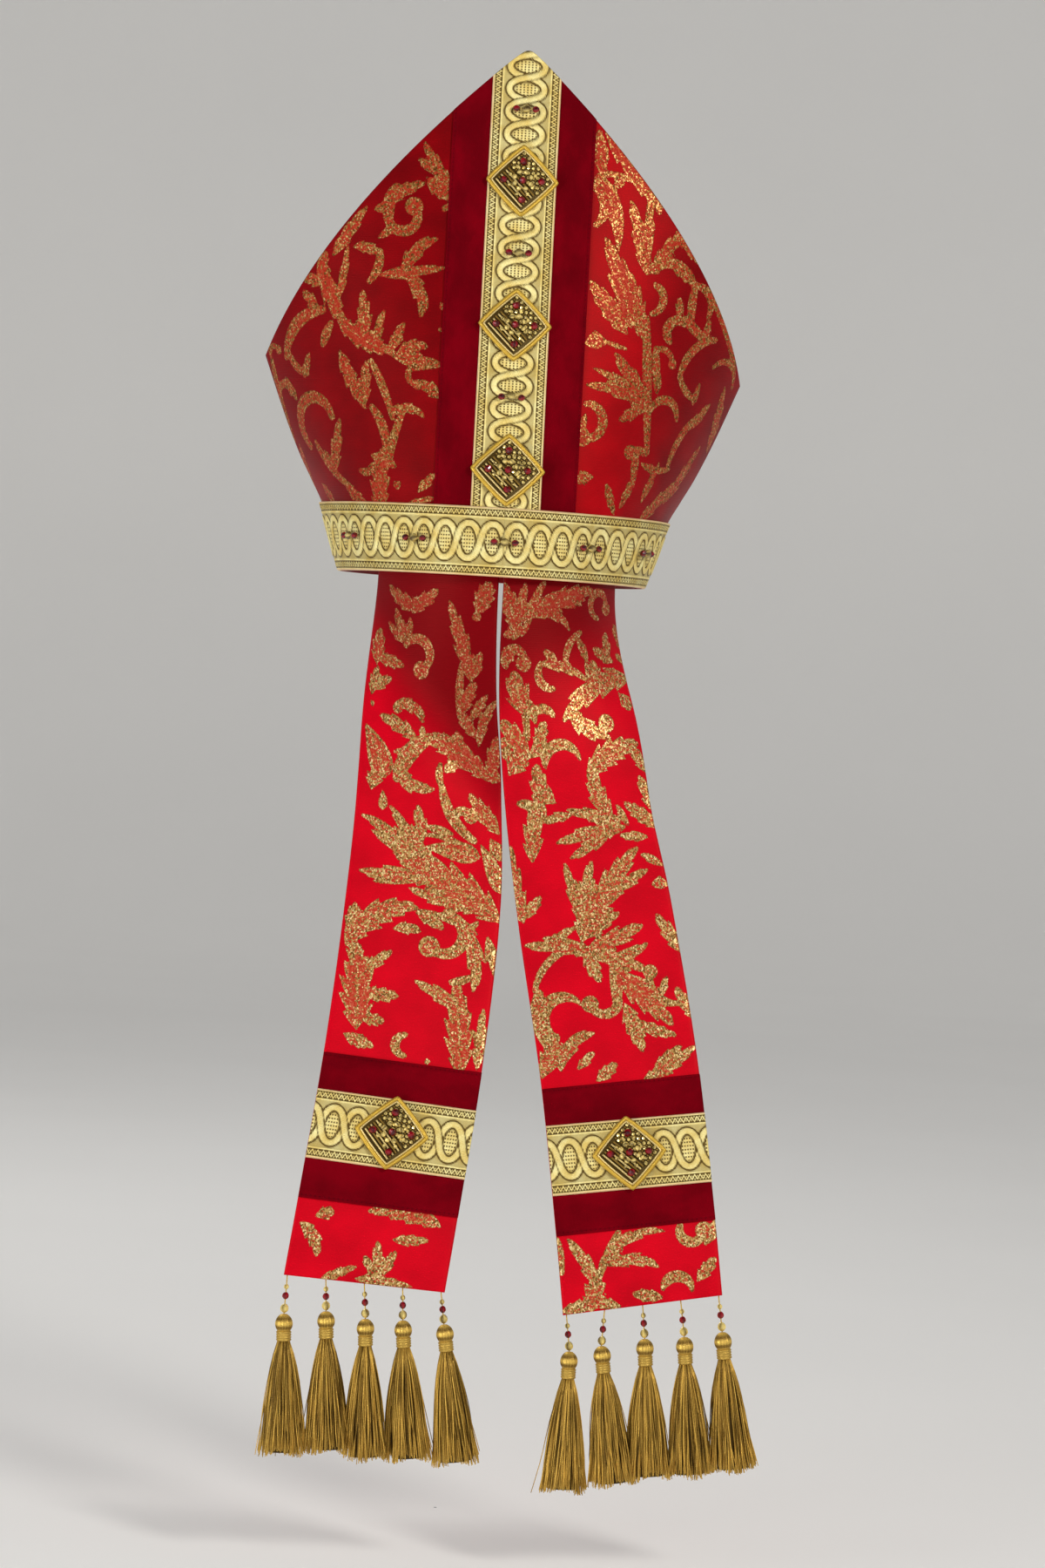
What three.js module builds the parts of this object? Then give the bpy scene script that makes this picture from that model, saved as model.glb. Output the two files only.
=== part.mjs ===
// A bishop's mitre as it sits on the head: two pointed shields with a soft web between
// them, galloon and velvet trim, and two tails with tassels that hang from the back.
//
// Millimetres, +Z up. The origin is the middle of the head opening, in the plane of the rim.
// The wearer faces +Y, so the tails hang on the -Y side, and +X is the wearer's right.
import * as THREE from 'three';

// Crown: outer faces of the shields at the rim, at the side corners and at the tips
const RIM_HALF_WIDTH = 90.5;
const RIM_HALF_DEPTH = 103;
const CORNER_HALF_WIDTH = 142.5;
const CORNER_HALF_DEPTH = 80;
const CORNER_HEIGHT = 125;
const TIP_HEIGHT = 308;
const TIP_HALF_DEPTH = 55;
const TIP_ROUNDING = 3;
const SHIELD_WALL = 3;
// How pointed the side seam is at the corner: 0 is a smooth ellipse, towards 1 a knife edge
const SEAM_SHARPNESS = 0.45;
// The pull of the curved edge between corner and tip, as shares of its width and its rise
const EDGE_PULL = { across: 0.8, up: 0.443 };
// The side's swell from the rim to the corner
const SIDE_SWELL = [
  { height: 0, width: 0 },
  { height: 0.32, width: 0.26 },
  { height: 0.42, width: 0.385 },
  { height: 0.54, width: 0.54 },
  { height: 0.73, width: 0.745 },
  { height: 1, width: 1 },
];

// Soft web between the shields
const WEB_THICKNESS = 1.2;
const WEB_VALLEY_RISE = 14;
const WEB_REACH = 0.94;
const WEB_SOFTNESS = 0.16;
const WEB_EDGE_DROP = 1.5;

// Trim, laid in layers with a small clearance between them
const CLEARANCE = 0.3;
const GALLOON_WIDTH = 40;
const GALLOON_THICKNESS = 1.2;
const VELVET_BORDER = 22;
const VELVET_THICKNESS = 1.2;
const BAND_THICKNESS = 1.8;
const TRIM_START = 1;

// Ornaments on the galloons
const RHOMB_HALF_WIDTH = 20.7;
const RHOMB_HALF_HEIGHT = 21;
const RHOMB_EDGE = 1.4;
const RHOMB_CORD = 2.6;
const RHOMB_CREST = 4.5;
const RHOMBS_ON_SHIELD = 3;
const ORNAMENT_PITCH = 84.5;
const LOWEST_RHOMB_HEIGHT = 62;
const BEAD_SIDES = 10;
const RED_BEAD = 4;
const GOLD_BEAD = 5;
const SMALL_GOLD_BEAD = 3;
const BEAD_SPACING = 5.6;
const BEAD_THREAD = 1;
const BAND_BEAD_PLACES = 12;
const BARE_BAND_PLACES = [3, 9];

// Tails, measured along the cloth from the rim down to the hem
const TAIL_THICKNESS = 2;
const TAIL_SEWN_IN = 34;
const TAIL_SEAT_DEPTH = 0.95;
const TAIL_LENGTH = { left: 412, right: 419 };
const TAIL_RIM_WIDTH = 87;
const TAIL_HEM_WIDTH = 90;
const TAIL_GAP = 3;
const TAIL_REACH_OUT = 89;
const TAIL_WRAP_LENGTH = 125;
const HEM_TO_VELVET = 43;
// The course of each tail below the rim: down is a share of its length, width and side are
// shares of the hem width, side being its middle line's way out from the centre, and out is a
// share of TAIL_REACH_OUT; slant is how far the cloth skews, as the drop across it from inner
// to outer edge by its width
const TAIL_COURSE = {
  left: [
    { down: 0, width: 0.93, side: 0.448, out: 0, slant: 0 },
    { down: 0.17, width: 0.9, side: 0.415, out: 0.01, slant: 0 },
    { down: 0.29, width: 0.92, side: 0.385, out: 0.06, slant: 0 },
    { down: 0.46, width: 0.987, side: 0.388, out: 0.25, slant: 0 },
    { down: 0.68, width: 1, side: 0.467, out: 0.575, slant: 0.03 },
    { down: 0.9, width: 1, side: 0.588, out: 0.89, slant: 0.05 },
    { down: 1, width: 1, side: 0.646, out: 1, slant: 0.07 },
  ],
  right: [
    { down: 0, width: 0.965, side: 0.483, out: 0, slant: 0 },
    { down: 0.17, width: 0.96, side: 0.524, out: 0.01, slant: 0 },
    { down: 0.29, width: 0.925, side: 0.558, out: 0.06, slant: 0 },
    { down: 0.46, width: 0.987, side: 0.708, out: 0.25, slant: 0 },
    { down: 0.68, width: 1, side: 0.892, out: 0.575, slant: 0.01 },
    { down: 0.9, width: 1, side: 1.029, out: 0.89, slant: -0.02 },
    { down: 1, width: 1, side: 1.088, out: 1, slant: -0.045 },
  ],
};
// Soft dents that run across a tail, from one place to another: down is a share of its
// length, across goes from -1 at the inner edge to 1 at the outer one, and deep and broad are
// shares of the deepest dent
const DENT_DEPTH = 4;
const DENT_BREADTH = 13;
const TAIL_DENTS = {
  left: [{ fromDown: 0.13, fromAcross: 0.5, toDown: 0.33, toAcross: -0.9, deep: 1, broad: 1 }],
  right: [{ fromDown: 0, fromAcross: 0.6, toDown: 0.2, toAcross: 0.95, deep: 0.75, broad: 0.92 }],
};

// Tassels
const TASSELS_ON_HEM = 5;
const TASSEL_INSET = 2;
const DROP_LENGTH = 19;
// Places on the drop as shares of its length, and the bare thread under its last bead
const DROP_RED_BEAD = 0.52;
const DROP_SMALL_BEAD = 0.28;
const DROP_LAST_THREAD = 0.5;
const KNOB_WIDTH = 9.5;
const KNOB_HEIGHT = 10;
const NECK_WIDTH = 8;
const NECK_HEIGHT = 4.6;
const SKIRT_LENGTH = 62.7;
const SKIRT_HALF_WIDTH = 10.8;
// Outlines of the skirt and the knob from below: width and height are shares of each one's own
const SKIRT_OUTLINE = [
  { width: 1, down: 1 },
  { width: 0.93, down: 0.6 },
  { width: 0.72, down: 0.25 },
];
const KNOB_OUTLINE = [
  { width: 1, down: 0.65 },
  { width: 0.85, down: 0.25 },
];
const SKIRT_FLATNESS = 0.75;
const SKIRT_LOCKS = 7;
const LOCK_DEPTH = 0.14;
const LOCK_RAGGED = 0.045;
// The way down differs from the cap's own axis, because the head leans a little to one side
const PLUMB_LEAN = 0.061;
// Each hem's tassels from its inner edge to its outer one: the drop's length as a share, and
// how far the drop and the tassel lean to +X, as shares of their lengths
const TASSEL_HANG = {
  left: [
    { drop: 0.92, dropLean: 0.09, lean: 0.09 },
    { drop: 0.92, dropLean: 0, lean: 0.035 },
    { drop: 1, dropLean: 0.03, lean: -0.007 },
    { drop: 0.9, dropLean: 0, lean: 0.003 },
    { drop: 1.1, dropLean: -0.09, lean: -0.013 },
  ],
  right: [
    { drop: 1.05, dropLean: 0.08, lean: -0.05 },
    { drop: 1.03, dropLean: -0.09, lean: 0.087 },
    { drop: 0.96, dropLean: 0.06, lean: 0.03 },
    { drop: 1.05, dropLean: 0.1, lean: 0.045 },
    { drop: 1.05, dropLean: 0.1, lean: 0.085 },
  ],
};

// Fineness of the meshes
const OUTER_COLUMNS = 7;
const SHIELD_ROWS = 11;
const WEB_COLUMNS = 10;
const TAIL_COLUMNS = 4;
const TAIL_STEP = 24;
// How far to either side a surface is read to find which way it faces
const ANGLE_READ = 0.01;
const HEIGHT_READ = 0.5;
const RUN_READ = 6;
const WEB_READ = 0.01;

// Offsets of each layer's inner and outer face from the cloth that carries it
const SHIELD_LAYER = { inner: -SHIELD_WALL, outer: 0 };
const TAIL_LAYER = { inner: -TAIL_THICKNESS, outer: 0 };
const VELVET_LAYER = { inner: CLEARANCE, outer: CLEARANCE + VELVET_THICKNESS };
const GALLOON_LAYER = {
  inner: VELVET_LAYER.outer + CLEARANCE,
  outer: VELVET_LAYER.outer + CLEARANCE + GALLOON_THICKNESS,
};
const ORNAMENT_SEAT = GALLOON_LAYER.outer + CLEARANCE;
const GALLOON_HALF = GALLOON_WIDTH / 2;
const VELVET_HALF = GALLOON_HALF + VELVET_BORDER;
const BAND_HEIGHT = GALLOON_WIDTH;

const { lerp, clamp, smoothstep } = THREE.MathUtils;

const MATERIALS = {
  brocade: { color: 0xb3121d, roughness: 0.45, metalness: 0.1 },
  lining: { color: 0x9c0f1a, roughness: 0.6, metalness: 0 },
  velvet: { color: 0x5c0410, roughness: 0.9, metalness: 0 },
  galloon: { color: 0xd8b95c, roughness: 0.42, metalness: 0.5 },
  rhomb: { color: 0x9a7420, roughness: 0.4, metalness: 0.6 },
  beads: { color: 0x8f0f14, roughness: 0.15, metalness: 0.1 },
  drop: { color: 0xb8862a, roughness: 0.25, metalness: 0.6 },
  tassel: { color: 0xb08a2c, roughness: 0.4, metalness: 0.6 },
};

const mitre = new THREE.Group();

function add(name, geometry, look) {
  const mesh = new THREE.Mesh(geometry, new THREE.MeshStandardMaterial(MATERIALS[look]));
  mesh.name = name;
  mitre.add(mesh);
  return mesh;
}

// Value of a named column of a table at a place along it, as a smooth curve through the rows
function readTable(rows, key, value, at) {
  const last = rows.length - 2;
  const found = rows.findIndex((row) => row[key] > at) - 1;
  const i = found < 0 ? (at < rows[0][key] ? 0 : last) : Math.min(found, last);
  const slope = (a, b) => (rows[b][value] - rows[a][value]) / (rows[b][key] - rows[a][key]);
  const tangent = (k) => slope(Math.max(k - 1, 0), Math.min(k + 1, rows.length - 1));
  const span = rows[i + 1][key] - rows[i][key];
  const t = clamp((at - rows[i][key]) / span, 0, 1);
  const t2 = t * t;
  const t3 = t2 * t;
  const inside = (2 * t3 - 3 * t2 + 1) * rows[i][value] + (3 * t2 - 2 * t3) * rows[i + 1][value]
    + ((t3 - 2 * t2 + t) * tangent(i) + (t3 - t2) * tangent(i + 1)) * span;
  const past = at - rows[rows.length - 1][key];
  return past > 0 ? inside + past * tangent(rows.length - 1) : inside;
}

// Crown surface

function sideAt(height) {
  const share = readTable(SIDE_SWELL, 'height', 'width', height / CORNER_HEIGHT);
  return lerp(RIM_HALF_WIDTH, CORNER_HALF_WIDTH, share);
}

// The parabola through the half depths at the rim, the corners and the tips
function depthAt(height) {
  const up = height / TIP_HEIGHT;
  const corner = CORNER_HEIGHT / TIP_HEIGHT;
  const atRim = RIM_HALF_DEPTH * (up - corner) * (up - 1) / corner;
  const atCorner = CORNER_HALF_DEPTH * up * (up - 1) / (corner * (corner - 1));
  const atTip = TIP_HALF_DEPTH * up * (up - corner) / (1 - corner);
  return atRim + atCorner + atTip;
}

// A level section of one shield is an arc of an ellipse whose centre moves forward with the
// height, so that the two shields meet in an edge that gets sharper towards the corners
function sectionAt(height) {
  const sharpness = SEAM_SHARPNESS * smoothstep(height, 0, CORNER_HEIGHT);
  const radiusY = depthAt(height) / (1 - sharpness);
  return {
    radiusX: sideAt(height) / Math.sqrt(1 - sharpness * sharpness),
    radiusY,
    centreY: sharpness * radiusY,
    seamAngle: Math.acos(sharpness),
  };
}

function arcTo(section, angle) {
  const steps = 24;
  let length = 0;
  for (let i = 0; i < steps; i++) {
    const a = angle * (i + 0.5) / steps;
    length += Math.hypot(section.radiusX * Math.cos(a), section.radiusY * Math.sin(a));
  }
  return length * angle / steps;
}

function angleAtArc(section, arc) {
  let angle = arc / section.radiusX;
  for (let i = 0; i < 12; i++) {
    const rate = Math.hypot(section.radiusX * Math.cos(angle), section.radiusY * Math.sin(angle));
    angle -= (arcTo(section, angle) - arc) / rate;
  }
  return angle;
}

function seamArcAt(height) {
  const section = sectionAt(height);
  return arcTo(section, section.seamAngle);
}

function onSection(angle, height) {
  const section = sectionAt(height);
  return new THREE.Vector3(
    section.radiusX * Math.sin(angle),
    section.centreY - section.radiusY * Math.cos(angle),
    height,
  );
}

// A point of the crown by its distance along the level section from the middle line, its
// height and its distance out from the shield's outer face, in the level direction
function crownPoint(arc, height, offset, atSeam = false) {
  const section = sectionAt(height);
  const angle = atSeam ? section.seamAngle : angleAtArc(section, Math.abs(arc));
  const point = onSection(angle, height);
  const along = onSection(angle + ANGLE_READ, height).sub(onSection(angle - ANGLE_READ, height));
  const up = onSection(angle, height + HEIGHT_READ).sub(onSection(angle, height - HEIGHT_READ));
  const normal = along.cross(up).normalize();
  const level = normal.x * normal.x + normal.y * normal.y;
  point.x += offset * (atSeam ? 1 / normal.x : normal.x / level);
  point.y += atSeam ? 0 : offset * normal.y / level;
  point.x *= arc < 0 ? -1 : 1;
  return point;
}

// The free edge from corner (0) to tip (1), a curve with one bend and a rounded tip
function edgeAt(t) {
  const cornerX = Math.hypot(CORNER_HALF_WIDTH, TIP_ROUNDING) - TIP_ROUNDING;
  const bend = 2 * t * (1 - t);
  const x = cornerX * (1 - t) * (1 - t) + bend * cornerX * EDGE_PULL.across;
  const rise = bend * EDGE_PULL.up + t * t;
  const height = lerp(CORNER_HEIGHT, TIP_HEIGHT, rise);
  const across = Math.sqrt(Math.max(0, (x + TIP_ROUNDING) ** 2 - TIP_ROUNDING ** 2));
  const section = sectionAt(height);
  return { arc: arcTo(section, Math.asin(across / section.radiusX)), height };
}

// Where along the free edge the distance from the middle line is a given arc
function edgeShareAtArc(arc) {
  let low = 0;
  let high = 1;
  for (let i = 0; i < 40; i++) {
    const middle = (low + high) / 2;
    if (edgeAt(middle).arc > arc) low = middle;
    else high = middle;
  }
  return (low + high) / 2;
}

// Columns of the crown's mesh on one side of the middle line: the trims' edges by arc, then
// shares of what is left up to the side
const OUTER_SHARES = Array.from({ length: OUTER_COLUMNS }, (_, i) => (
  { share: (i + 1) / OUTER_COLUMNS }));
const VELVET_COLUMNS = [{ arc: GALLOON_HALF }, { arc: VELVET_HALF }];
const SHIELD_COLUMNS = bothSides([...VELVET_COLUMNS, ...OUTER_SHARES]);

function bothSides(columns) {
  const right = columns.map((column) => ({ ...column, sign: 1 }));
  const left = columns.map((column) => ({ ...column, sign: -1 })).reverse();
  return [...left, { arc: 0, sign: 1 }, ...right];
}

// Rows of the crown's mesh: level ones behind the head band, then shares of the way to the edge
function crownRows(start) {
  const rises = Array.from({ length: SHIELD_ROWS }, (_, i) => ({ rise: (i + 1) / SHIELD_ROWS }));
  return [{ height: start }, { height: BAND_HEIGHT / 2 }, { height: BAND_HEIGHT }, ...rises];
}

const EDGE_AT_VELVET = edgeShareAtArc(VELVET_HALF);

// Arc and height of one point of the mesh. Above the band the outer columns fill the patch
// between the velvet's edge, the side seam, the band's top and the free edge.
function crownPlace(column, row) {
  if (row.height !== undefined) {
    const arc = column.arc ?? lerp(VELVET_HALF, seamArcAt(row.height), column.share);
    return { arc, height: row.height };
  }
  if (column.arc !== undefined) {
    const top = edgeAt(edgeShareAtArc(column.arc)).height;
    return { arc: column.arc, height: lerp(BAND_HEIGHT, top, row.rise) };
  }
  const innerTop = edgeAt(EDGE_AT_VELVET).height;
  const sideHeight = lerp(BAND_HEIGHT, CORNER_HEIGHT, row.rise);
  const edge = edgeAt(EDGE_AT_VELVET * (1 - column.share));
  const foot = seamArcAt(BAND_HEIGHT);
  const corner = seamArcAt(CORNER_HEIGHT);
  const blend = (inner, outer, bottom, top, [low, lowOuter, high, highOuter]) => (
    lerp(inner, outer, column.share) + lerp(bottom, top, row.rise)
    - lerp(lerp(low, lowOuter, column.share), lerp(high, highOuter, column.share), row.rise));
  return {
    arc: blend(VELVET_HALF, seamArcAt(sideHeight), lerp(VELVET_HALF, foot, column.share), edge.arc,
      [VELVET_HALF, foot, VELVET_HALF, corner]),
    height: blend(lerp(BAND_HEIGHT, innerTop, row.rise), sideHeight, BAND_HEIGHT, edge.height,
      [BAND_HEIGHT, BAND_HEIGHT, innerTop, CORNER_HEIGHT]),
  };
}

function crownVertex(column, row, offset, front, seamGap) {
  const place = crownPlace(column, row);
  const atSeam = column.share === 1;
  const point = crownPoint(place.arc * column.sign, place.height, offset, atSeam);
  if (atSeam) point.y = -seamGap / 2;
  if (front) point.y *= -1;
  return point;
}

// Closed solids

// Turns every face outwards, whichever way the grid was walked
function closedGeometry(points, faces) {
  let volume = 0;
  for (const [a, b, c] of faces) {
    volume += points[a].dot(points[b].clone().cross(points[c]));
  }
  const geometry = new THREE.BufferGeometry();
  const places = new THREE.Float32BufferAttribute(points.flatMap((p) => p.toArray()), 3);
  geometry.setAttribute('position', places);
  geometry.setIndex(faces.flatMap(([a, b, c]) => (volume > 0 ? [a, b, c] : [a, c, b])));
  geometry.computeVertexNormals();
  return geometry;
}

// A shell between an inner and an outer grid of points; a wrapped one closes into a ring
function shell(columns, rows, wrapped, vertex) {
  const points = [];
  for (const layer of ['inner', 'outer']) {
    for (const column of columns) {
      for (const row of rows) points.push(vertex(column, row, layer));
    }
  }
  const count = columns.length;
  const at = (layer, i, j) => (layer * count + (i % count)) * rows.length + j;
  const faces = [];
  const quad = (a, b, c, d) => faces.push([a, b, c], [a, c, d]);
  const spans = wrapped ? count : count - 1;
  for (let i = 0; i < spans; i++) {
    for (let j = 0; j < rows.length - 1; j++) {
      quad(at(0, i, j), at(0, i, j + 1), at(0, i + 1, j + 1), at(0, i + 1, j));
      quad(at(1, i, j), at(1, i + 1, j), at(1, i + 1, j + 1), at(1, i, j + 1));
    }
    const top = rows.length - 1;
    quad(at(0, i, 0), at(0, i + 1, 0), at(1, i + 1, 0), at(1, i, 0));
    quad(at(0, i, top), at(1, i, top), at(1, i + 1, top), at(0, i + 1, top));
  }
  if (!wrapped) {
    const end = count - 1;
    for (let j = 0; j < rows.length - 1; j++) {
      quad(at(0, 0, j), at(1, 0, j), at(1, 0, j + 1), at(0, 0, j + 1));
      quad(at(0, end, j), at(0, end, j + 1), at(1, end, j + 1), at(1, end, j));
    }
  }
  return closedGeometry(points, faces);
}

// Shields, velvet and galloon

// The columns of both shields run the same way round the head, as the band's do, so that the
// facets of layers that lie on each other are split alike
function crownLayer(columns, start, layer, front) {
  const around = front ? [...columns].reverse() : columns;
  return shell(around, crownRows(start), false, (column, row, face) => (
    crownVertex(column, row, layer[face], front, CLEARANCE)));
}

for (const front of [false, true]) {
  const name = front ? 'front' : 'back';
  const trims = bothSides(VELVET_COLUMNS);
  const strip = bothSides([{ arc: GALLOON_HALF }]);
  add(`${name}_shield`, crownLayer(SHIELD_COLUMNS, 0, SHIELD_LAYER, front), 'brocade');
  add(`${name}_velvet`, crownLayer(trims, TRIM_START, VELVET_LAYER, front), 'velvet');
  add(`${name}_galloon`, crownLayer(strip, TRIM_START, GALLOON_LAYER, front), 'galloon');
}

// Head band: a ring that steps out over the velvet and the galloon

function bandInner(arc) {
  const outerColumn = lerp(VELVET_HALF, seamArcAt(0), 1 / OUTER_COLUMNS);
  if (arc <= GALLOON_HALF) return ORNAMENT_SEAT;
  if (arc <= VELVET_HALF) {
    return lerp(ORNAMENT_SEAT, GALLOON_LAYER.inner, (arc - GALLOON_HALF) / VELVET_BORDER);
  }
  const beyond = clamp((arc - VELVET_HALF) / (outerColumn - VELVET_HALF), 0, 1);
  return lerp(GALLOON_LAYER.inner, CLEARANCE, beyond);
}

function bandColumns() {
  const back = SHIELD_COLUMNS.map((column) => ({ ...column, front: false }));
  const front = SHIELD_COLUMNS.slice(1, -1).map((column) => ({ ...column, front: true })).reverse();
  return [...back, ...front];
}

const BAND_ROWS = [{ height: 0 }, { height: BAND_HEIGHT / 2 }, { height: BAND_HEIGHT }];

add('head_band', shell(bandColumns(), BAND_ROWS, true, (column, row, face) => {
  const place = crownPlace(column, { height: 0 });
  const offset = bandInner(place.arc) + (face === 'outer' ? BAND_THICKNESS : 0);
  return crownVertex(column, row, offset, column.front, 0);
}), 'galloon');

// Soft web: at each place along the line from corner to corner its section is a soft V that
// hangs from the free edges of the two shields

function webPoint(along, across) {
  const t = edgeShareAtX(Math.abs(along) * CORNER_HALF_WIDTH);
  const edge = edgeAt(t);
  const depth = -SHIELD_WALL - CLEARANCE - WEB_THICKNESS / 2;
  const rim = crownPoint(edge.arc, edge.height - WEB_EDGE_DROP, depth);
  const valley = CORNER_HEIGHT + WEB_VALLEY_RISE * (1 - along * along);
  const rise = (away) => Math.hypot(away, WEB_SOFTNESS) - WEB_SOFTNESS;
  const soft = rise(across) / rise(1);
  const x = Math.sign(along) * rim.x;
  return new THREE.Vector3(x, -rim.y * across, lerp(valley, rim.z, soft));
}

function edgeShareAtX(x) {
  let low = 0;
  let high = 1;
  for (let i = 0; i < 40; i++) {
    const middle = (low + high) / 2;
    const edge = edgeAt(middle);
    if (crownPoint(edge.arc, edge.height, 0).x > x) low = middle;
    else high = middle;
  }
  return (low + high) / 2;
}

const webColumns = Array.from({ length: WEB_COLUMNS + 1 }, (_, i) => (
  WEB_REACH * (2 * i / WEB_COLUMNS - 1)));
const webRows = [-1, -0.6, -0.25, 0, 0.25, 0.6, 1];

add('crown_gusset', shell(webColumns, webRows, false, (along, across, face) => {
  const point = webPoint(along, across);
  const front = webPoint(along, Math.min(across + 2 * WEB_READ, 1));
  const ahead = front.sub(webPoint(along, Math.max(across - 2 * WEB_READ, -1)));
  const aside = webPoint(along + WEB_READ, across).sub(webPoint(along - WEB_READ, across));
  const normal = aside.cross(ahead).normalize();
  return point.addScaledVector(normal, (face === 'outer' ? 0.5 : -0.5) * WEB_THICKNESS);
}), 'lining');

// Rhombs

// A rhomb pad on a patch, which gives a point by its place across, up and out from the cloth
function rhomb(patch) {
  const cord = 1 - 2 * RHOMB_CORD / RHOMB_HALF_WIDTH;
  const steps = [-1, -cord, 0, cord, 1];
  return shell(steps, steps, false, (p, q, face) => {
    const across = (p - q) / 2 * RHOMB_HALF_WIDTH;
    const up = (p + q) / 2 * RHOMB_HALF_HEIGHT;
    const ring = Math.max(Math.abs(p), Math.abs(q));
    const crest = ring === 1 ? RHOMB_EDGE : lerp(RHOMB_CREST, RHOMB_CORD, ring / cord);
    return patch(across, up, ORNAMENT_SEAT + (face === 'outer' ? crest : 0));
  });
}

function shieldPatch(front, height) {
  return (across, up, offset) => {
    const point = crownPoint(across, height + up, offset);
    if (front) point.y *= -1;
    return point;
  };
}

// Rows of three beads

// Beads on one thread, each with two facet rows that meet at its girdle
function beadString(beads, from, to) {
  const radius = BEAD_THREAD / 2;
  const profile = [new THREE.Vector2(0, from)];
  if (beads[0].at - beads[0].size / 2 > from) profile.push(new THREE.Vector2(radius, from));
  for (const bead of beads) {
    const start = bead.at - bead.size / 2;
    const end = bead.at + bead.size / 2;
    if (start > from) profile.push(new THREE.Vector2(radius, start));
    profile.push(new THREE.Vector2(bead.size / 2, bead.at));
    if (end < to) profile.push(new THREE.Vector2(radius, end));
  }
  const last = beads[beads.length - 1];
  if (last.at + last.size / 2 < to) profile.push(new THREE.Vector2(radius, to));
  profile.push(new THREE.Vector2(0, to));
  return new THREE.LatheGeometry(profile, BEAD_SIDES);
}

function beadRow() {
  const reach = BEAD_SPACING + RED_BEAD / 2;
  return beadString([
    { at: -BEAD_SPACING, size: RED_BEAD },
    { at: 0, size: GOLD_BEAD },
    { at: BEAD_SPACING, size: RED_BEAD },
  ], -reach, reach);
}

// Lays a row of beads flat on a patch, along its level direction
function placeBeads(name, patch, seat) {
  const mesh = add(name, beadRow(), 'beads');
  const along = patch(1, 0, seat).sub(patch(-1, 0, seat)).normalize();
  mesh.position.copy(patch(0, 0, seat + GOLD_BEAD / 2));
  mesh.quaternion.setFromUnitVectors(new THREE.Vector3(0, 1, 0), along);
}

for (const front of [false, true]) {
  const name = front ? 'front' : 'back';
  for (let i = 0; i < RHOMBS_ON_SHIELD; i++) {
    const height = LOWEST_RHOMB_HEIGHT + i * ORNAMENT_PITCH;
    add(`${name}_rhomb_${i + 1}`, rhomb(shieldPatch(front, height)), 'rhomb');
    placeBeads(`${name}_beads_${i + 1}`, shieldPatch(front, height + ORNAMENT_PITCH / 2), ORNAMENT_SEAT);
  }
}

// A patch of the head band at a distance round the ring from the middle of the back
function bandPatch(around) {
  const quarter = seamArcAt(BAND_HEIGHT / 2);
  return (across, up, offset) => {
    const turn = (around + across + 4 * quarter) % (4 * quarter);
    const front = turn > quarter && turn < 3 * quarter;
    const arc = front ? 2 * quarter - turn : (turn > 2 * quarter ? turn - 4 * quarter : turn);
    const nearSeam = quarter - Math.abs(arc) < 0.01;
    const point = crownPoint(arc, BAND_HEIGHT / 2 + up, offset, nearSeam);
    if (front) point.y *= -1;
    return point;
  };
}

// Rows of beads stand at even places round the band, but none over the side seams
let bandRows = 0;
for (let i = 0; i < BAND_BEAD_PLACES; i++) {
  if (BARE_BAND_PLACES.includes(i)) continue;
  bandRows += 1;
  const quarter = seamArcAt(BAND_HEIGHT / 2);
  const around = i * 4 * quarter / BAND_BEAD_PLACES;
  const fromBack = Math.min(around, 4 * quarter - around);
  const arc = Math.min(fromBack, 2 * quarter - fromBack);
  const seat = bandInner(arc) + BAND_THICKNESS + CLEARANCE;
  placeBeads(`band_beads_${String(bandRows).padStart(2, '0')}`, bandPatch(around), seat);
}

// Tails

const TAIL_SEAT = -SHIELD_WALL - TAIL_SEAT_DEPTH;

// A point of a tail: across from -1 at its inner edge to 1 at its outer edge, down the cloth
// from the rim, negative where it is sewn in, and out from its outer face
function tailPoint(side, across, down, out) {
  const sign = side === 'left' ? -1 : 1;
  const course = TAIL_COURSE[side];
  const share = clamp(down / TAIL_LENGTH[side], 0, 1);
  const width = TAIL_HEM_WIDTH * readTable(course, 'down', 'width', share);
  const fromMiddle = TAIL_GAP / 2 + (across + 1) / 2 * TAIL_RIM_WIDTH;
  const wrap = crownPoint(sign * fromMiddle, Math.max(0, -down), TAIL_SEAT + out);
  if (down <= 0) return wrap;
  wrap.z = -down;
  const hung = hungPoint(side, across * width / 2, down, out);
  return wrap.lerp(hung, smoothstep(down, 0, TAIL_WRAP_LENGTH));
}

function tailMiddle(side, down) {
  const course = TAIL_COURSE[side];
  const share = clamp(down / TAIL_LENGTH[side], 0, 1);
  const sideways = readTable(course, 'down', 'side', share) * TAIL_HEM_WIDTH;
  const reach = readTable(course, 'down', 'out', share) * TAIL_REACH_OUT;
  const slant = readTable(course, 'down', 'slant', share);
  return { sideways, depth: RIM_HALF_DEPTH + TAIL_SEAT + reach, drop: tailDrop(side, down), slant };
}

// The height lost while the cloth leans out and aside
function tailDrop(side, down) {
  const course = TAIL_COURSE[side];
  const steps = 40;
  const step = down / steps;
  const read = (column, at) => readTable(course, 'down', column, clamp(at / TAIL_LENGTH[side], 0, 1));
  let drop = 0;
  for (let i = 0; i < steps; i++) {
    const from = i * step;
    const outward = (read('out', from + step) - read('out', from)) * TAIL_REACH_OUT;
    const aside = (read('side', from + step) - read('side', from)) * TAIL_HEM_WIDTH;
    drop += Math.sqrt(Math.max(0, step * step - outward * outward - aside * aside));
  }
  return drop;
}

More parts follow.
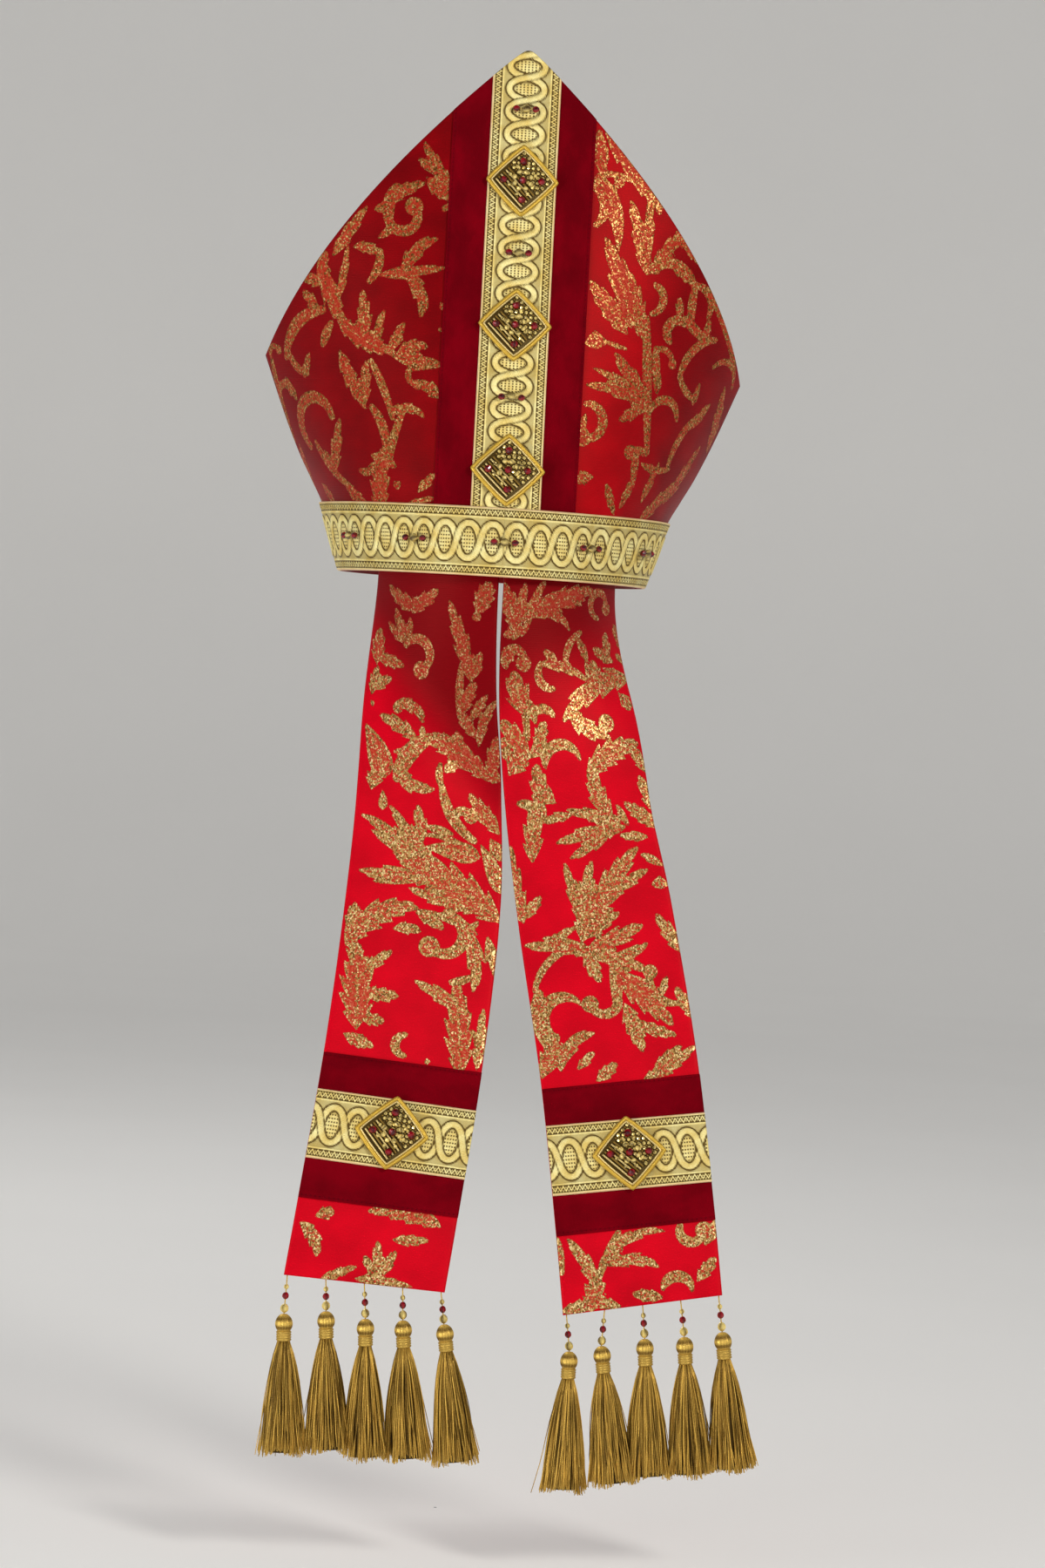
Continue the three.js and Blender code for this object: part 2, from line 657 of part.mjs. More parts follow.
function hungPoint(side, across, down, out) {
  const sign = side === 'left' ? -1 : 1;
  const here = tailMiddle(side, down);
  const above = tailMiddle(side, Math.max(0, down - RUN_READ));
  const below = tailMiddle(side, Math.min(TAIL_LENGTH[side], down + RUN_READ));
  const middle = (place) => new THREE.Vector3(sign * place.sideways, -place.depth, -place.drop);
  const run = middle(below).sub(middle(above)).normalize();
  const aside = new THREE.Vector3(0, -1, 0).cross(run).normalize().multiplyScalar(sign);
  const normal = run.clone().cross(aside).normalize().multiplyScalar(sign);
  const skew = run.multiplyScalar(here.slant);
  return middle(here).addScaledVector(aside.add(skew), across)
    .addScaledVector(normal, out - dentDepth(side, across, down));
}

function dentDepth(side, across, down) {
  let depth = 0;
  for (const dent of TAIL_DENTS[side]) {
    const half = TAIL_HEM_WIDTH / 2;
    const start = new THREE.Vector2(dent.fromAcross * half, dent.fromDown * TAIL_LENGTH[side]);
    const end = new THREE.Vector2(dent.toAcross * half, dent.toDown * TAIL_LENGTH[side]);
    const line = end.clone().sub(start);
    const place = new THREE.Vector2(across, down).sub(start);
    const along = clamp(place.dot(line) / line.lengthSq(), 0, 1);
    const away = place.addScaledVector(line, -along).length();
    const fade = Math.sin(Math.PI * lerp(0.15, 0.85, along));
    depth += DENT_DEPTH * dent.deep * fade * Math.exp(-((away / (DENT_BREADTH * dent.broad)) ** 2));
  }
  return depth;
}

const TAIL_ACROSS = Array.from({ length: TAIL_COLUMNS + 1 }, (_, i) => 2 * i / TAIL_COLUMNS - 1);

// The trims' edges along a tail, from the rim down
function trimRows(side) {
  const velvetBottom = TAIL_LENGTH[side] - HEM_TO_VELVET;
  const middle = velvetBottom - VELVET_HALF;
  return [middle - VELVET_HALF, middle - GALLOON_HALF, middle, middle + GALLOON_HALF, velvetBottom];
}

function tailRows(side) {
  const velvetTop = trimRows(side)[0];
  const steps = Math.round(velvetTop / TAIL_STEP);
  const free = Array.from({ length: steps }, (_, i) => velvetTop * i / steps);
  return [-TAIL_SEWN_IN, -TAIL_SEWN_IN / 2, ...free, ...trimRows(side), TAIL_LENGTH[side]];
}

function tailLayer(side, rows, layer) {
  return shell(TAIL_ACROSS, rows, false, (across, down, face) => (
    tailPoint(side, across, down, layer[face])));
}

for (const side of ['left', 'right']) {
  add(`${side}_lappet`, tailLayer(side, tailRows(side), TAIL_LAYER), 'brocade');
  const trim = trimRows(side);
  add(`${side}_lappet_velvet`, tailLayer(side, trim, VELVET_LAYER), 'velvet');
  add(`${side}_lappet_galloon`, tailLayer(side, trim.slice(1, -1), GALLOON_LAYER), 'galloon');
  add(`${side}_lappet_rhomb`, rhomb((across, up, offset) => (
    tailPoint(side, across / (TAIL_HEM_WIDTH / 2), trim[2] - up, offset))), 'rhomb');
}

// Tassels on their bead drops

function tasselGeometry() {
  const sides = SKIRT_LOCKS * 2;
  const skirtTop = -KNOB_HEIGHT - NECK_HEIGHT;
  const bottom = skirtTop - SKIRT_LENGTH;
  const profile = [
    new THREE.Vector2(0, bottom),
    ...SKIRT_OUTLINE.map((row) => (
      new THREE.Vector2(SKIRT_HALF_WIDTH * row.width, lerp(skirtTop, bottom, row.down)))),
    new THREE.Vector2(NECK_WIDTH / 2, skirtTop),
    new THREE.Vector2(NECK_WIDTH / 2, -KNOB_HEIGHT),
    ...KNOB_OUTLINE.map((row) => (
      new THREE.Vector2(KNOB_WIDTH / 2 * row.width, -KNOB_HEIGHT * row.down))),
    new THREE.Vector2(0, 0),
  ];
  const geometry = new THREE.LatheGeometry(profile, sides);
  const position = geometry.attributes.position;
  for (let i = 0; i < position.count; i++) {
    const point = new THREE.Vector3().fromBufferAttribute(position, i);
    const share = clamp((skirtTop - point.y) / SKIRT_LENGTH, 0, 1);
    const radius = Math.hypot(point.x, point.z);
    const lock = radius > 0.001 ? Math.cos(SKIRT_LOCKS * Math.atan2(point.z, point.x)) : 0;
    const ragged = radius > 0.001 ? LOCK_RAGGED * Math.sin(3 * Math.atan2(point.z, point.x)) : 0;
    const scale = 1 + LOCK_DEPTH * (lock - 1) / 2 * share;
    point.x *= scale;
    point.z *= scale * lerp(1, SKIRT_FLATNESS, share);
    if (share === 1) point.y += SKIRT_LENGTH * (LOCK_DEPTH * (1 - lock) / 4 + ragged);
    position.setXYZ(i, point.x, point.y, point.z);
  }
  return geometry;
}

const plumb = (lean) => new THREE.Vector3(PLUMB_LEAN + lean, 0, -1).normalize();

for (const side of ['left', 'right']) {
  TASSEL_HANG[side].slice(0, TASSELS_ON_HEM).forEach((hang, i) => {
    const reach = 1 - TASSEL_INSET / (TAIL_HEM_WIDTH / 2);
    const across = reach * (2 * i / (TASSELS_ON_HEM - 1) - 1);
    const length = DROP_LENGTH * hang.drop;
    const dropWay = plumb(hang.dropLean);
    const hem = tailPoint(side, across, TAIL_LENGTH[side], -TAIL_THICKNESS / 2);
    const top = hem.addScaledVector(dropWay, CLEARANCE * 2);
    const beads = [
      { at: -length + GOLD_BEAD / 2 + DROP_LAST_THREAD, size: GOLD_BEAD },
      { at: -length * DROP_RED_BEAD, size: RED_BEAD },
      { at: -length * DROP_SMALL_BEAD, size: SMALL_GOLD_BEAD },
    ];
    const drop = add(`${side}_bead_drop_${i + 1}`, beadString(beads, -length, 0), 'drop');
    drop.position.copy(top);
    drop.quaternion.setFromUnitVectors(new THREE.Vector3(0, -1, 0), dropWay);

    const hanging = plumb(hang.lean);
    const tassel = add(`${side}_tassel_${i + 1}`, tasselGeometry(), 'tassel');
    tassel.position.copy(top).addScaledVector(dropWay, length + CLEARANCE);
    tassel.quaternion.setFromUnitVectors(new THREE.Vector3(0, -1, 0), hanging);
  });
}

export default mitre;
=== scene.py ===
# %% [markdown]
# # A bishop's mitre, seen from behind
# A mitre is two stiff pointed shields of brocade joined at the sides, with a soft web folded
# between them. Gold galloon and velvet trim it, and two tails hang from the back with tassels.
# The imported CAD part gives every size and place, so each piece below is worked out on the same
# surfaces as the CAD uses, only far finer, and stands for the CAD node of its name.

import bpy
import numpy as np
from mathutils import Matrix


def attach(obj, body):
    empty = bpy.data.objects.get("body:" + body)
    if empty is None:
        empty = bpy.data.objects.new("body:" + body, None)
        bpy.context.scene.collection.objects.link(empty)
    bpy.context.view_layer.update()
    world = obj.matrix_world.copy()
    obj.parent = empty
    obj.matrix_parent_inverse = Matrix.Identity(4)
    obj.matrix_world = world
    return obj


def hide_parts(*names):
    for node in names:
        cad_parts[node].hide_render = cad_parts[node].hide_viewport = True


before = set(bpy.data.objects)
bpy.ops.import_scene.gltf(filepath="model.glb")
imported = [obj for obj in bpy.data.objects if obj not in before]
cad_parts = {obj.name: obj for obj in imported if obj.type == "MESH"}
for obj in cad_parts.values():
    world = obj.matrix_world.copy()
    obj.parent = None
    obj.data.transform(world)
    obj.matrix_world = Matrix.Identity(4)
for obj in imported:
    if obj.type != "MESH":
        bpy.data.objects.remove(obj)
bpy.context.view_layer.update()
MM = 0.001

# %% [markdown]
# ## The camera
# The photograph looks up at the cap a little and is turned by three degrees, because the head
# leans. A camera is only a place and three directions, so its matrix is written down directly.

# %% The camera
CAMERA_PLACE = np.array([-150.3, -2492.8, -43.0])
YAW, RISE, ROLL = np.radians([4.051, -1.79, -3.475])
LENS = 95.6


def camera_matrix():
    """Looks along a direction given by yaw and rise, then rolls round that direction."""
    look = np.array([np.sin(YAW) * np.cos(RISE), np.cos(YAW) * np.cos(RISE), np.sin(RISE)])
    side = np.cross(look, [0, 0, 1])
    side /= np.linalg.norm(side)
    up = np.cross(side, look)
    right = np.cos(ROLL) * side - np.sin(ROLL) * up
    top = np.sin(ROLL) * side + np.cos(ROLL) * up
    matrix = np.eye(4)
    matrix[:3, 0], matrix[:3, 1], matrix[:3, 2] = right, top, -look
    matrix[:3, 3] = CAMERA_PLACE * MM
    return Matrix(matrix.tolist())


camera = bpy.data.objects.new("camera", bpy.data.cameras.new("camera"))
camera.data.sensor_width = 36
camera.data.lens = LENS
camera.data.clip_end = 50
camera.matrix_world = camera_matrix()
bpy.context.scene.collection.objects.link(camera)
bpy.context.scene.camera = camera
bpy.context.scene.view_settings.view_transform = "Standard"
print("camera", camera.location)

# %% [markdown]
# ## Grids into meshes
# Nearly every piece here is a skin: a fine outer face, a coarse inner one, and a narrow rim
# that joins them. The faces are worked out as whole arrays of indices. The inner grid may have
# fewer rows and columns, as long as its steps divide those of the outer one.

# %% Grids into meshes
def grid_faces(rows, columns, start=0, ring=False):
    """Quads between neighbouring rows and columns; point (i, j) is start + i * columns + j."""
    i, j = np.meshgrid(np.arange(rows - 1), np.arange(columns if ring else columns - 1),
                       indexing="ij")
    after = (j + 1) % columns
    quads = [i * columns + j, (i + 1) * columns + j, (i + 1) * columns + after, i * columns + after]
    return np.stack(quads, -1).reshape(-1, 4) + start


def strip_faces(fine, coarse):
    """Triangles between two lines of points, where each step of the coarse one meets k of the
    fine one: a fan from each coarse point, and one triangle on to the next coarse point."""
    k = (len(fine) - 1) // (len(coarse) - 1)
    step = np.arange(len(fine) - 1)
    fans = np.stack([fine[step + 1], fine[step], coarse[step // k]], -1)
    last = np.arange(len(coarse) - 1)
    joins = np.stack([fine[(last + 1) * k], coarse[last], coarse[last + 1]], -1)
    return np.concatenate([fans, joins])


def shell_faces(outer_shape, inner_shape, ring=False):
    """Faces of a closed skin: outer grid, inner grid turned round, and strips at the borders."""
    (rows, columns), (inner_rows, inner_columns) = outer_shape, inner_shape
    outer = np.arange(rows * columns).reshape(rows, columns)
    inner = np.arange(inner_rows * inner_columns).reshape(inner_rows, inner_columns) + outer.size
    if ring:
        close = lambda line: np.append(line, line[0])
        borders = [(close(outer[-1]), close(inner[-1])),
                   (close(outer[0])[::-1], close(inner[0])[::-1])]
    else:
        borders = [(outer[:, 0], inner[:, 0]), (outer[-1], inner[-1]),
                   (outer[::-1, -1], inner[::-1, -1]), (outer[0, ::-1], inner[0, ::-1])]
    faces = [grid_faces(rows, columns, 0, ring),
             grid_faces(inner_rows, inner_columns, outer.size, ring)[:, ::-1]]
    rims = [strip_faces(fine, coarse) for fine, coarse in borders]
    return faces, rims


def signed_volume(points, faces):
    """A sixth of the triple product of each face's corners, summed; positive if faces look out."""
    total = 0.0
    for group in faces:
        for k in range(1, group.shape[1] - 1):
            a, b, c = (points[group[:, n]] for n in (0, k, k + 1))
            total += np.einsum("ij,ij->i", a, np.cross(b, c)).sum()
    return total


def write_mesh(name, points, groups, smooth, materials, slots=None):
    """One mesh object from points in millimetres and groups of faces. Smooth says for each
    group whether it is shaded smoothly, and slots gives the number of its material."""
    each = lambda values: np.concatenate([np.full(len(g), v) for g, v in zip(groups, values)])
    sizes = each([g.shape[1] for g in groups])
    corners = np.concatenate([g.ravel() for g in groups])
    mesh = bpy.data.meshes.new(name)
    mesh.vertices.add(len(points))
    mesh.vertices.foreach_set("co", (points * MM).astype(np.float32).ravel())
    mesh.loops.add(len(corners))
    mesh.loops.foreach_set("vertex_index", corners.astype(np.int32))
    mesh.polygons.add(len(sizes))
    mesh.polygons.foreach_set("loop_start", np.concatenate([[0], np.cumsum(sizes)[:-1]]).astype(np.int32))
    mesh.polygons.foreach_set("use_smooth", each(smooth).astype(bool))
    for material in materials:
        mesh.materials.append(material)
    if slots is not None:
        mesh.polygons.foreach_set("material_index", each(slots).astype(np.int32))
    mesh.update(calc_edges=True)
    piece = bpy.data.objects.new(name, mesh)
    bpy.context.scene.collection.objects.link(piece)
    return piece


def set_value(mesh, key, value):
    """Stores a number or a vector for each point of a mesh."""
    kind, field = ("FLOAT", "value") if value.ndim == 1 else ("FLOAT_VECTOR", "vector")
    mesh.attributes.new(key, kind, "POINT").data.foreach_set(field, value.astype(np.float32).ravel())


def both_faces(outer, inner):
    """The points or values of the outer grid, then those of the inner one, as one long list."""
    tail = outer.shape[2:]
    return np.concatenate([outer.reshape(-1, *tail), inner.reshape(-1, *tail)])


def make_skin(name, node, outer, inner, values, material, ring=False):
    """One piece from an outer and an inner grid of points; its rim keeps sharp edges. Values are
    named pairs, for the outer and the inner grid, of what the finish reads at each point."""
    faces, rims = shell_faces(outer.shape[:2], inner.shape[:2], ring)
    points, groups = both_faces(outer, inner), [*faces, *rims]
    if signed_volume(points, groups) < 0:
        groups = [g[:, ::-1] for g in groups]
    smooth = [True] * len(faces) + [False] * len(rims)
    piece = write_mesh(name, points, groups, smooth, [material])
    for key, pair in values.items():
        set_value(piece.data, key, both_faces(*pair))
    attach(piece, "root")
    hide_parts(node)
    return piece


def flat_place(x, y):
    """Flat places on a cloth as vectors whose third part is nothing."""
    return np.stack([x, y, np.zeros_like(x)], -1)


def every(rows, columns=None):
    """Picks every so many rows and columns of a grid."""
    return slice(None, None, rows), slice(None, None, columns or rows)


def triangles(piece):
    return int(sum(len(p.vertices) - 2 for p in piece.data.polygons))


# %% [markdown]
# ## Node maths that reads like sums
# A finish is a small sum of patterns. One class wraps an output socket, so that + - * / between
# sockets and numbers make the Math nodes, vectors go through Vector Math, and colours through
# Mix. Any other node comes from one method that takes its type, its settings and its inputs.

# %% Node maths
class Wire:
    """An output socket of a node tree."""

    def __init__(self, tree, socket):
        self.tree, self.socket = tree, socket

    def node(self, kind, settings=None, inputs=None, output=0):
        made = self.tree.nodes.new(kind)
        for key, value in (settings or {}).items():
            setattr(made, key, value)
        for key, value in (inputs or {}).items():
            self.plug(value, made.inputs[key])
        return Wire(self.tree, made.outputs[output])

    def plug(self, value, target):
        if isinstance(value, Wire):
            self.tree.links.new(value.socket, target)
        else:
            target.default_value = value

    def is_vector(self, other):
        kinds = [self.socket.type] + ([other.socket.type] if isinstance(other, Wire) else [])
        return "VECTOR" in kinds or isinstance(other, tuple)

    def math(self, operation, *others, flip=False):
        vector = any(self.is_vector(o) for o in others) or self.socket.type == "VECTOR"
        kind = "ShaderNodeVectorMath" if vector else "ShaderNodeMath"
        terms = [self, *others][::-1] if flip else [self, *others]
        if vector:
            terms = [(t, t, t) if isinstance(t, (int, float)) else t for t in terms]
        return self.node(kind, {"operation": operation}, dict(enumerate(terms)))

    def __add__(self, other): return self.math("ADD", other)
    def __radd__(self, other): return self.math("ADD", other, flip=True)
    def __sub__(self, other): return self.math("SUBTRACT", other)
    def __rsub__(self, other): return self.math("SUBTRACT", other, flip=True)
    def __mul__(self, other): return self.math("MULTIPLY", other)
    def __truediv__(self, other): return self.math("DIVIDE", other)

    def ramp(self, low, high, start=0.0, end=1.0):
        """Goes smoothly from start to end while this value goes from low to high."""
        return self.node("ShaderNodeMapRange", {"interpolation_type": "SMOOTHSTEP"},
                         {0: self, 1: low, 2: high, 3: start, 4: end})

    def wave(self, length):
        """A sine from -1 to 1 with this wave length."""
        return (self * (2 * np.pi / length)).math("SINE")

    def noise(self, scale, detail=2.0, roughness=0.5):
        """Soft noise from 0 to 1 at these coordinates, with that many features in each unit."""
        return self.node("ShaderNodeTexNoise", None,
                         {"Vector": self, "Scale": scale, "Detail": detail, "Roughness": roughness})

    def cells(self, scale):
        """Another value from 0 to 1 in each small cell of a plane, that many cells in a unit."""
        return self.node("ShaderNodeTexVoronoi", {"voronoi_dimensions": "2D"},
                         {"Vector": self, "Scale": scale}, 1).part(0)

    def part(self, axis):
        """One coordinate of a vector: 0, 1 or 2."""
        return self.node("ShaderNodeSeparateXYZ", None, {0: self}, axis)

    def mix(self, low, high):
        """A colour between two others, by this value."""
        made = self.tree.nodes.new("ShaderNodeMix")
        made.data_type = "RGBA"
        colour_in = [s for s in made.inputs if s.type == "RGBA"]
        self.plug(self, made.inputs[0])
        for value, target in zip((low, high), colour_in):
            self.plug(value if isinstance(value, Wire) else (*value, 1.0), target)
        return Wire(self.tree, next(s for s in made.outputs if s.type == "RGBA"))


class Finish:
    """A material with one Principled shader, whose fixed values are set on the shader itself."""

    def __init__(self, name, **fixed):
        self.material = bpy.data.materials.new(name)
        self.material.use_nodes = True
        self.tree = self.material.node_tree
        self.shader = self.tree.nodes["Principled BSDF"]
        for key, value in fixed.items():
            self.shader.inputs[key.replace("_", " ")].default_value = value
        where = self.tree.nodes.new("ShaderNodeTexCoord")
        self.place = Wire(self.tree, where.outputs["Object"]) * (1 / MM)

    def value(self, key, output="Fac"):
        """A number stored on the mesh's points."""
        made = self.tree.nodes.new("ShaderNodeAttribute")
        made.attribute_name = key
        return Wire(self.tree, made.outputs[output])

    def vector(self, key):
        """A vector stored on the mesh's points."""
        return self.value(key, "Vector")

    def set(self, key, wire):
        self.tree.links.new(wire.socket, self.shader.inputs[key])

    def bump(self, height, distance):
        """Raises the finish by height times distance, in millimetres."""
        self.set("Normal", height.node("ShaderNodeBump", None, {
            "Height": height, "Distance": distance * MM, "Strength": 1.0}))


print("node helpers ready")

# %% [markdown]
# ## The crown's surface
# Each level section of a shield is an arc of an ellipse. Its centre moves forward with the
# height, so that the two shields meet in an edge that gets sharper towards the corners. All
# trims lie on this surface at a small offset, and are placed by their distance along the arc
# from the middle line and by their height.

# %% The crown's surface
RIM_HALF = np.array([90.5, 103.0])
CORNER_HALF = np.array([142.5, 80.0])
CORNER_HEIGHT, TIP_HEIGHT, TIP_HALF_DEPTH, TIP_ROUNDING = 125.0, 308.0, 55.0, 3.0
SHIELD_WALL, SEAM_SHARPNESS = 3.0, 0.45
EDGE_PULL_ACROSS, EDGE_PULL_UP = 0.8, 0.443
SWELL_HEIGHT = [0, 0.32, 0.42, 0.54, 0.73, 1]
SWELL_WIDTH = [0, 0.26, 0.385, 0.54, 0.745, 1]
GALLOON_HALF, VELVET_HALF, BAND_HEIGHT = 20.0, 42.0, 40.0
CLEARANCE, CLOTH = 0.3, 1.2
VELVET_OFFSET = (CLEARANCE, CLEARANCE + CLOTH)
GALLOON_OFFSET = (VELVET_OFFSET[1] + CLEARANCE, VELVET_OFFSET[1] + CLEARANCE + CLOTH)
ORNAMENT_SEAT = GALLOON_OFFSET[1] + CLEARANCE
BAND_THICKNESS = 1.8
ARC_STEPS, NEWTON_STEPS, FINE_STEPS = 24, 7, 1600


def lerp(a, b, t):
    return a + (b - a) * t


def smoothstep(value, low, high):
    t = np.clip((value - low) / (high - low), 0, 1)
    return t * t * (3 - 2 * t)


def read_table(places, values, at):
    """A smooth curve through rows of a table: between two rows a cubic whose slope at each row
    is that between its neighbours, and past the last row a straight line."""
    x, y, at = np.asarray(places, float), np.asarray(values, float), np.asarray(at, float)
    low = np.maximum(np.arange(len(x)) - 1, 0)
    high = np.minimum(np.arange(len(x)) + 1, len(x) - 1)
    slope = (y[high] - y[low]) / (x[high] - x[low])
    i = np.clip(np.searchsorted(x, at, side="right") - 1, 0, len(x) - 2)
    span = x[i + 1] - x[i]
    t = np.clip((at - x[i]) / span, 0, 1)
    inside = ((2 * t**3 - 3 * t**2 + 1) * y[i] + (3 * t**2 - 2 * t**3) * y[i + 1]
              + ((t**3 - 2 * t**2 + t) * slope[i] + (t**3 - t**2) * slope[i + 1]) * span)
    return inside + np.maximum(at - x[-1], 0) * slope[-1]


def side_at(height):
    share = read_table(SWELL_HEIGHT, SWELL_WIDTH, height / CORNER_HEIGHT)
    return lerp(RIM_HALF[0], CORNER_HALF[0], share)


DEPTH_CURVE = np.polyfit([0, CORNER_HEIGHT, TIP_HEIGHT], [RIM_HALF[1], CORNER_HALF[1], TIP_HALF_DEPTH], 2)


def section_at(height):
    """Half axes, centre and seam angle of the level ellipse at a height."""
    sharp = SEAM_SHARPNESS * smoothstep(height, 0, CORNER_HEIGHT)
    radius_y = np.polyval(DEPTH_CURVE, height) / (1 - sharp)
    radius_x = side_at(height) / np.sqrt(1 - sharp * sharp)
    return radius_x, radius_y, sharp * radius_y, np.arccos(sharp)


def arc_to(section, angle):
    """Length along the ellipse from the middle line, as short steps added up."""
    share = (np.arange(ARC_STEPS) + 0.5) / ARC_STEPS
    a = np.multiply.outer(share, angle)
    return np.hypot(section[0] * np.cos(a), section[1] * np.sin(a)).mean(0) * angle


def angle_at(section, arc):
    """The angle whose arc has a given length, by Newton's steps."""
    angle = arc / section[0]
    for _ in range(NEWTON_STEPS):
        rate = np.hypot(section[0] * np.cos(angle), section[1] * np.sin(angle))
        angle = angle - (arc_to(section, angle) - arc) / rate
    return angle


def on_section(angle, height):
    radius_x, radius_y, centre, _ = section_at(height)
    return np.stack([radius_x * np.sin(angle), centre - radius_y * np.cos(angle),
                     np.broadcast_to(height, np.shape(angle))], -1)


def seam_arc(height):
    section = section_at(height)
    return arc_to(section, section[3])


def crown_point(arc, height, offset, at_seam=False):
    """A point by its arc from the middle line, its height, and how far out of the shield's
    outer face it lies, measured level and square to the face."""
    arc, height, offset, at_seam = np.broadcast_arrays(
        *(np.asarray(v, float) for v in (arc, height, offset)), np.asarray(at_seam))
    section = section_at(height)
    angle = np.where(at_seam, section[3], angle_at(section, np.abs(arc)))
    point = on_section(angle, height)
    along = on_section(angle + 0.01, height) - on_section(angle - 0.01, height)
    up = on_section(angle, height + 0.5) - on_section(angle, height - 0.5)
    normal = np.cross(along, up)
    normal /= np.linalg.norm(normal, axis=-1, keepdims=True)
    level = normal[..., 0]**2 + normal[..., 1]**2
    seam_push = offset / np.where(at_seam, normal[..., 0], 1)
    point[..., 0] += np.where(at_seam, seam_push, offset * normal[..., 0] / level)
    point[..., 1] += np.where(at_seam, 0, offset * normal[..., 1] / level)
    point[..., 0] *= np.where(arc < 0, -1, 1)
    return point


# The free edge from a corner to the tip, a curve with one bend and a rounded tip
CORNER_X = np.hypot(CORNER_HALF[0], TIP_ROUNDING) - TIP_ROUNDING


def edge_at(t):
    """Arc and height of the free edge, from the corner at 0 to the tip at 1."""
    bend = 2 * t * (1 - t)
    x = CORNER_X * (1 - t)**2 + bend * CORNER_X * EDGE_PULL_ACROSS
    height = lerp(CORNER_HEIGHT, TIP_HEIGHT, bend * EDGE_PULL_UP + t * t)
    across = np.sqrt(np.maximum(0, (x + TIP_ROUNDING)**2 - TIP_ROUNDING**2))
    section = section_at(height)
    return arc_to(section, np.arcsin(np.clip(across / section[0], -1, 1))), height


EDGE_T = np.linspace(0, 1, FINE_STEPS + 1)
EDGE_ARC, EDGE_HEIGHT = edge_at(EDGE_T)


def edge_height(arc):
    """Height of the free edge at an arc from the middle line."""
    return np.interp(arc, EDGE_ARC[::-1], EDGE_HEIGHT[::-1])


EDGE_AT_VELVET = np.interp(VELVET_HALF, EDGE_ARC[::-1], EDGE_T[::-1])
VELVET_TOP = float(edge_height(VELVET_HALF))
print("velvet reaches the edge at", round(VELVET_TOP, 1), "mm; seam arc",
      round(float(seam_arc(CORNER_HEIGHT)), 1))


# %% A shield's grid of places
def panel_place(share, rise):
    """Arc and height in an outer panel above the band, blended from its four borders: the
    velvet's edge, the side seam, the band's top and the free edge."""
    side_height = lerp(BAND_HEIGHT, CORNER_HEIGHT, rise)
    edge_arc, edge_top = edge_at(EDGE_AT_VELVET * (1 - share))
    foot, corner = seam_arc(np.array(BAND_HEIGHT)), seam_arc(np.array(CORNER_HEIGHT))

    def blend(inner, outer, bottom, top, low, low_outer, high, high_outer):
        return (lerp(inner, outer, share) + lerp(bottom, top, rise)
                - lerp(lerp(low, low_outer, share), lerp(high, high_outer, share), rise))

    arc = blend(VELVET_HALF, seam_arc(side_height), lerp(VELVET_HALF, foot, share), edge_arc,
                VELVET_HALF, foot, VELVET_HALF, corner)
    height = blend(lerp(BAND_HEIGHT, VELVET_TOP, rise), side_height, BAND_HEIGHT, edge_top,
                   BAND_HEIGHT, BAND_HEIGHT, VELVET_TOP, CORNER_HEIGHT)
    return arc, height


def shield_places(columns, low_rows, high_rows):
    """Arc, height and seam flag of a grid: its columns run from seam to seam, given as arcs in
    the middle and shares beyond the velvet, and its rows from the rim to the free edge."""
    kind, value = columns
    low = np.linspace(0.0, BAND_HEIGHT, low_rows + 1)[:-1]
    rise = np.linspace(0, 1, high_rows + 1)
    middle = kind == 0
    arc = np.zeros((low_rows + high_rows + 1, len(value)))
    height = np.zeros_like(arc)
    size = np.abs(value)
    arc[:low_rows] = np.where(middle, size, lerp(VELVET_HALF, seam_arc(low)[:, None], size))
    height[:low_rows] = low[:, None]
    top = edge_height(np.where(middle, size, 0))
    share, up = np.broadcast_arrays(np.where(middle, 0, size), rise[:, None])
    panel_arc, panel_height = panel_place(share, up)
    arc[low_rows:] = np.where(middle, size, panel_arc)
    height[low_rows:] = np.where(middle, lerp(BAND_HEIGHT, top, rise[:, None]), panel_height)
    sign = np.where(value < 0, -1, 1)
    seam = np.broadcast_to(~middle & (size == 1), arc.shape)
    return arc * sign, height, seam


def shield_columns(middle, outer):
    """Column marks from seam to seam: kind 0 is an arc in the middle, kind 1 an outer share."""
    arcs = np.linspace(-VELVET_HALF, VELVET_HALF, middle + 1)
    shares = np.arange(1, outer + 1) / outer
    value = np.concatenate([-shares[::-1], arcs, shares])
    kind = np.concatenate([np.ones(outer), np.zeros(middle + 1), np.ones(outer)]).astype(int)
    return kind, value


def on_crown(places, offset, front):
    """Points of a grid of places at an offset; the seam columns stay half a clearance behind."""
    arc, height, seam = places
    point = crown_point(arc, height, offset, seam)
    point[..., 1] = np.where(seam, -CLEARANCE / 2, point[..., 1])
    if front:
        point[..., 1] *= -1
    return point


# %% [markdown]
# ## The tails' surface
# A tail is a flat strip that is sewn in behind the back shield, wraps the rim for a while and
# then hangs out over the wearer's back. Its middle line is a table read smoothly from rim to
# hem, and its width, its slant and a soft dent are added to it. Width and side are shares of the
# width at the hem.

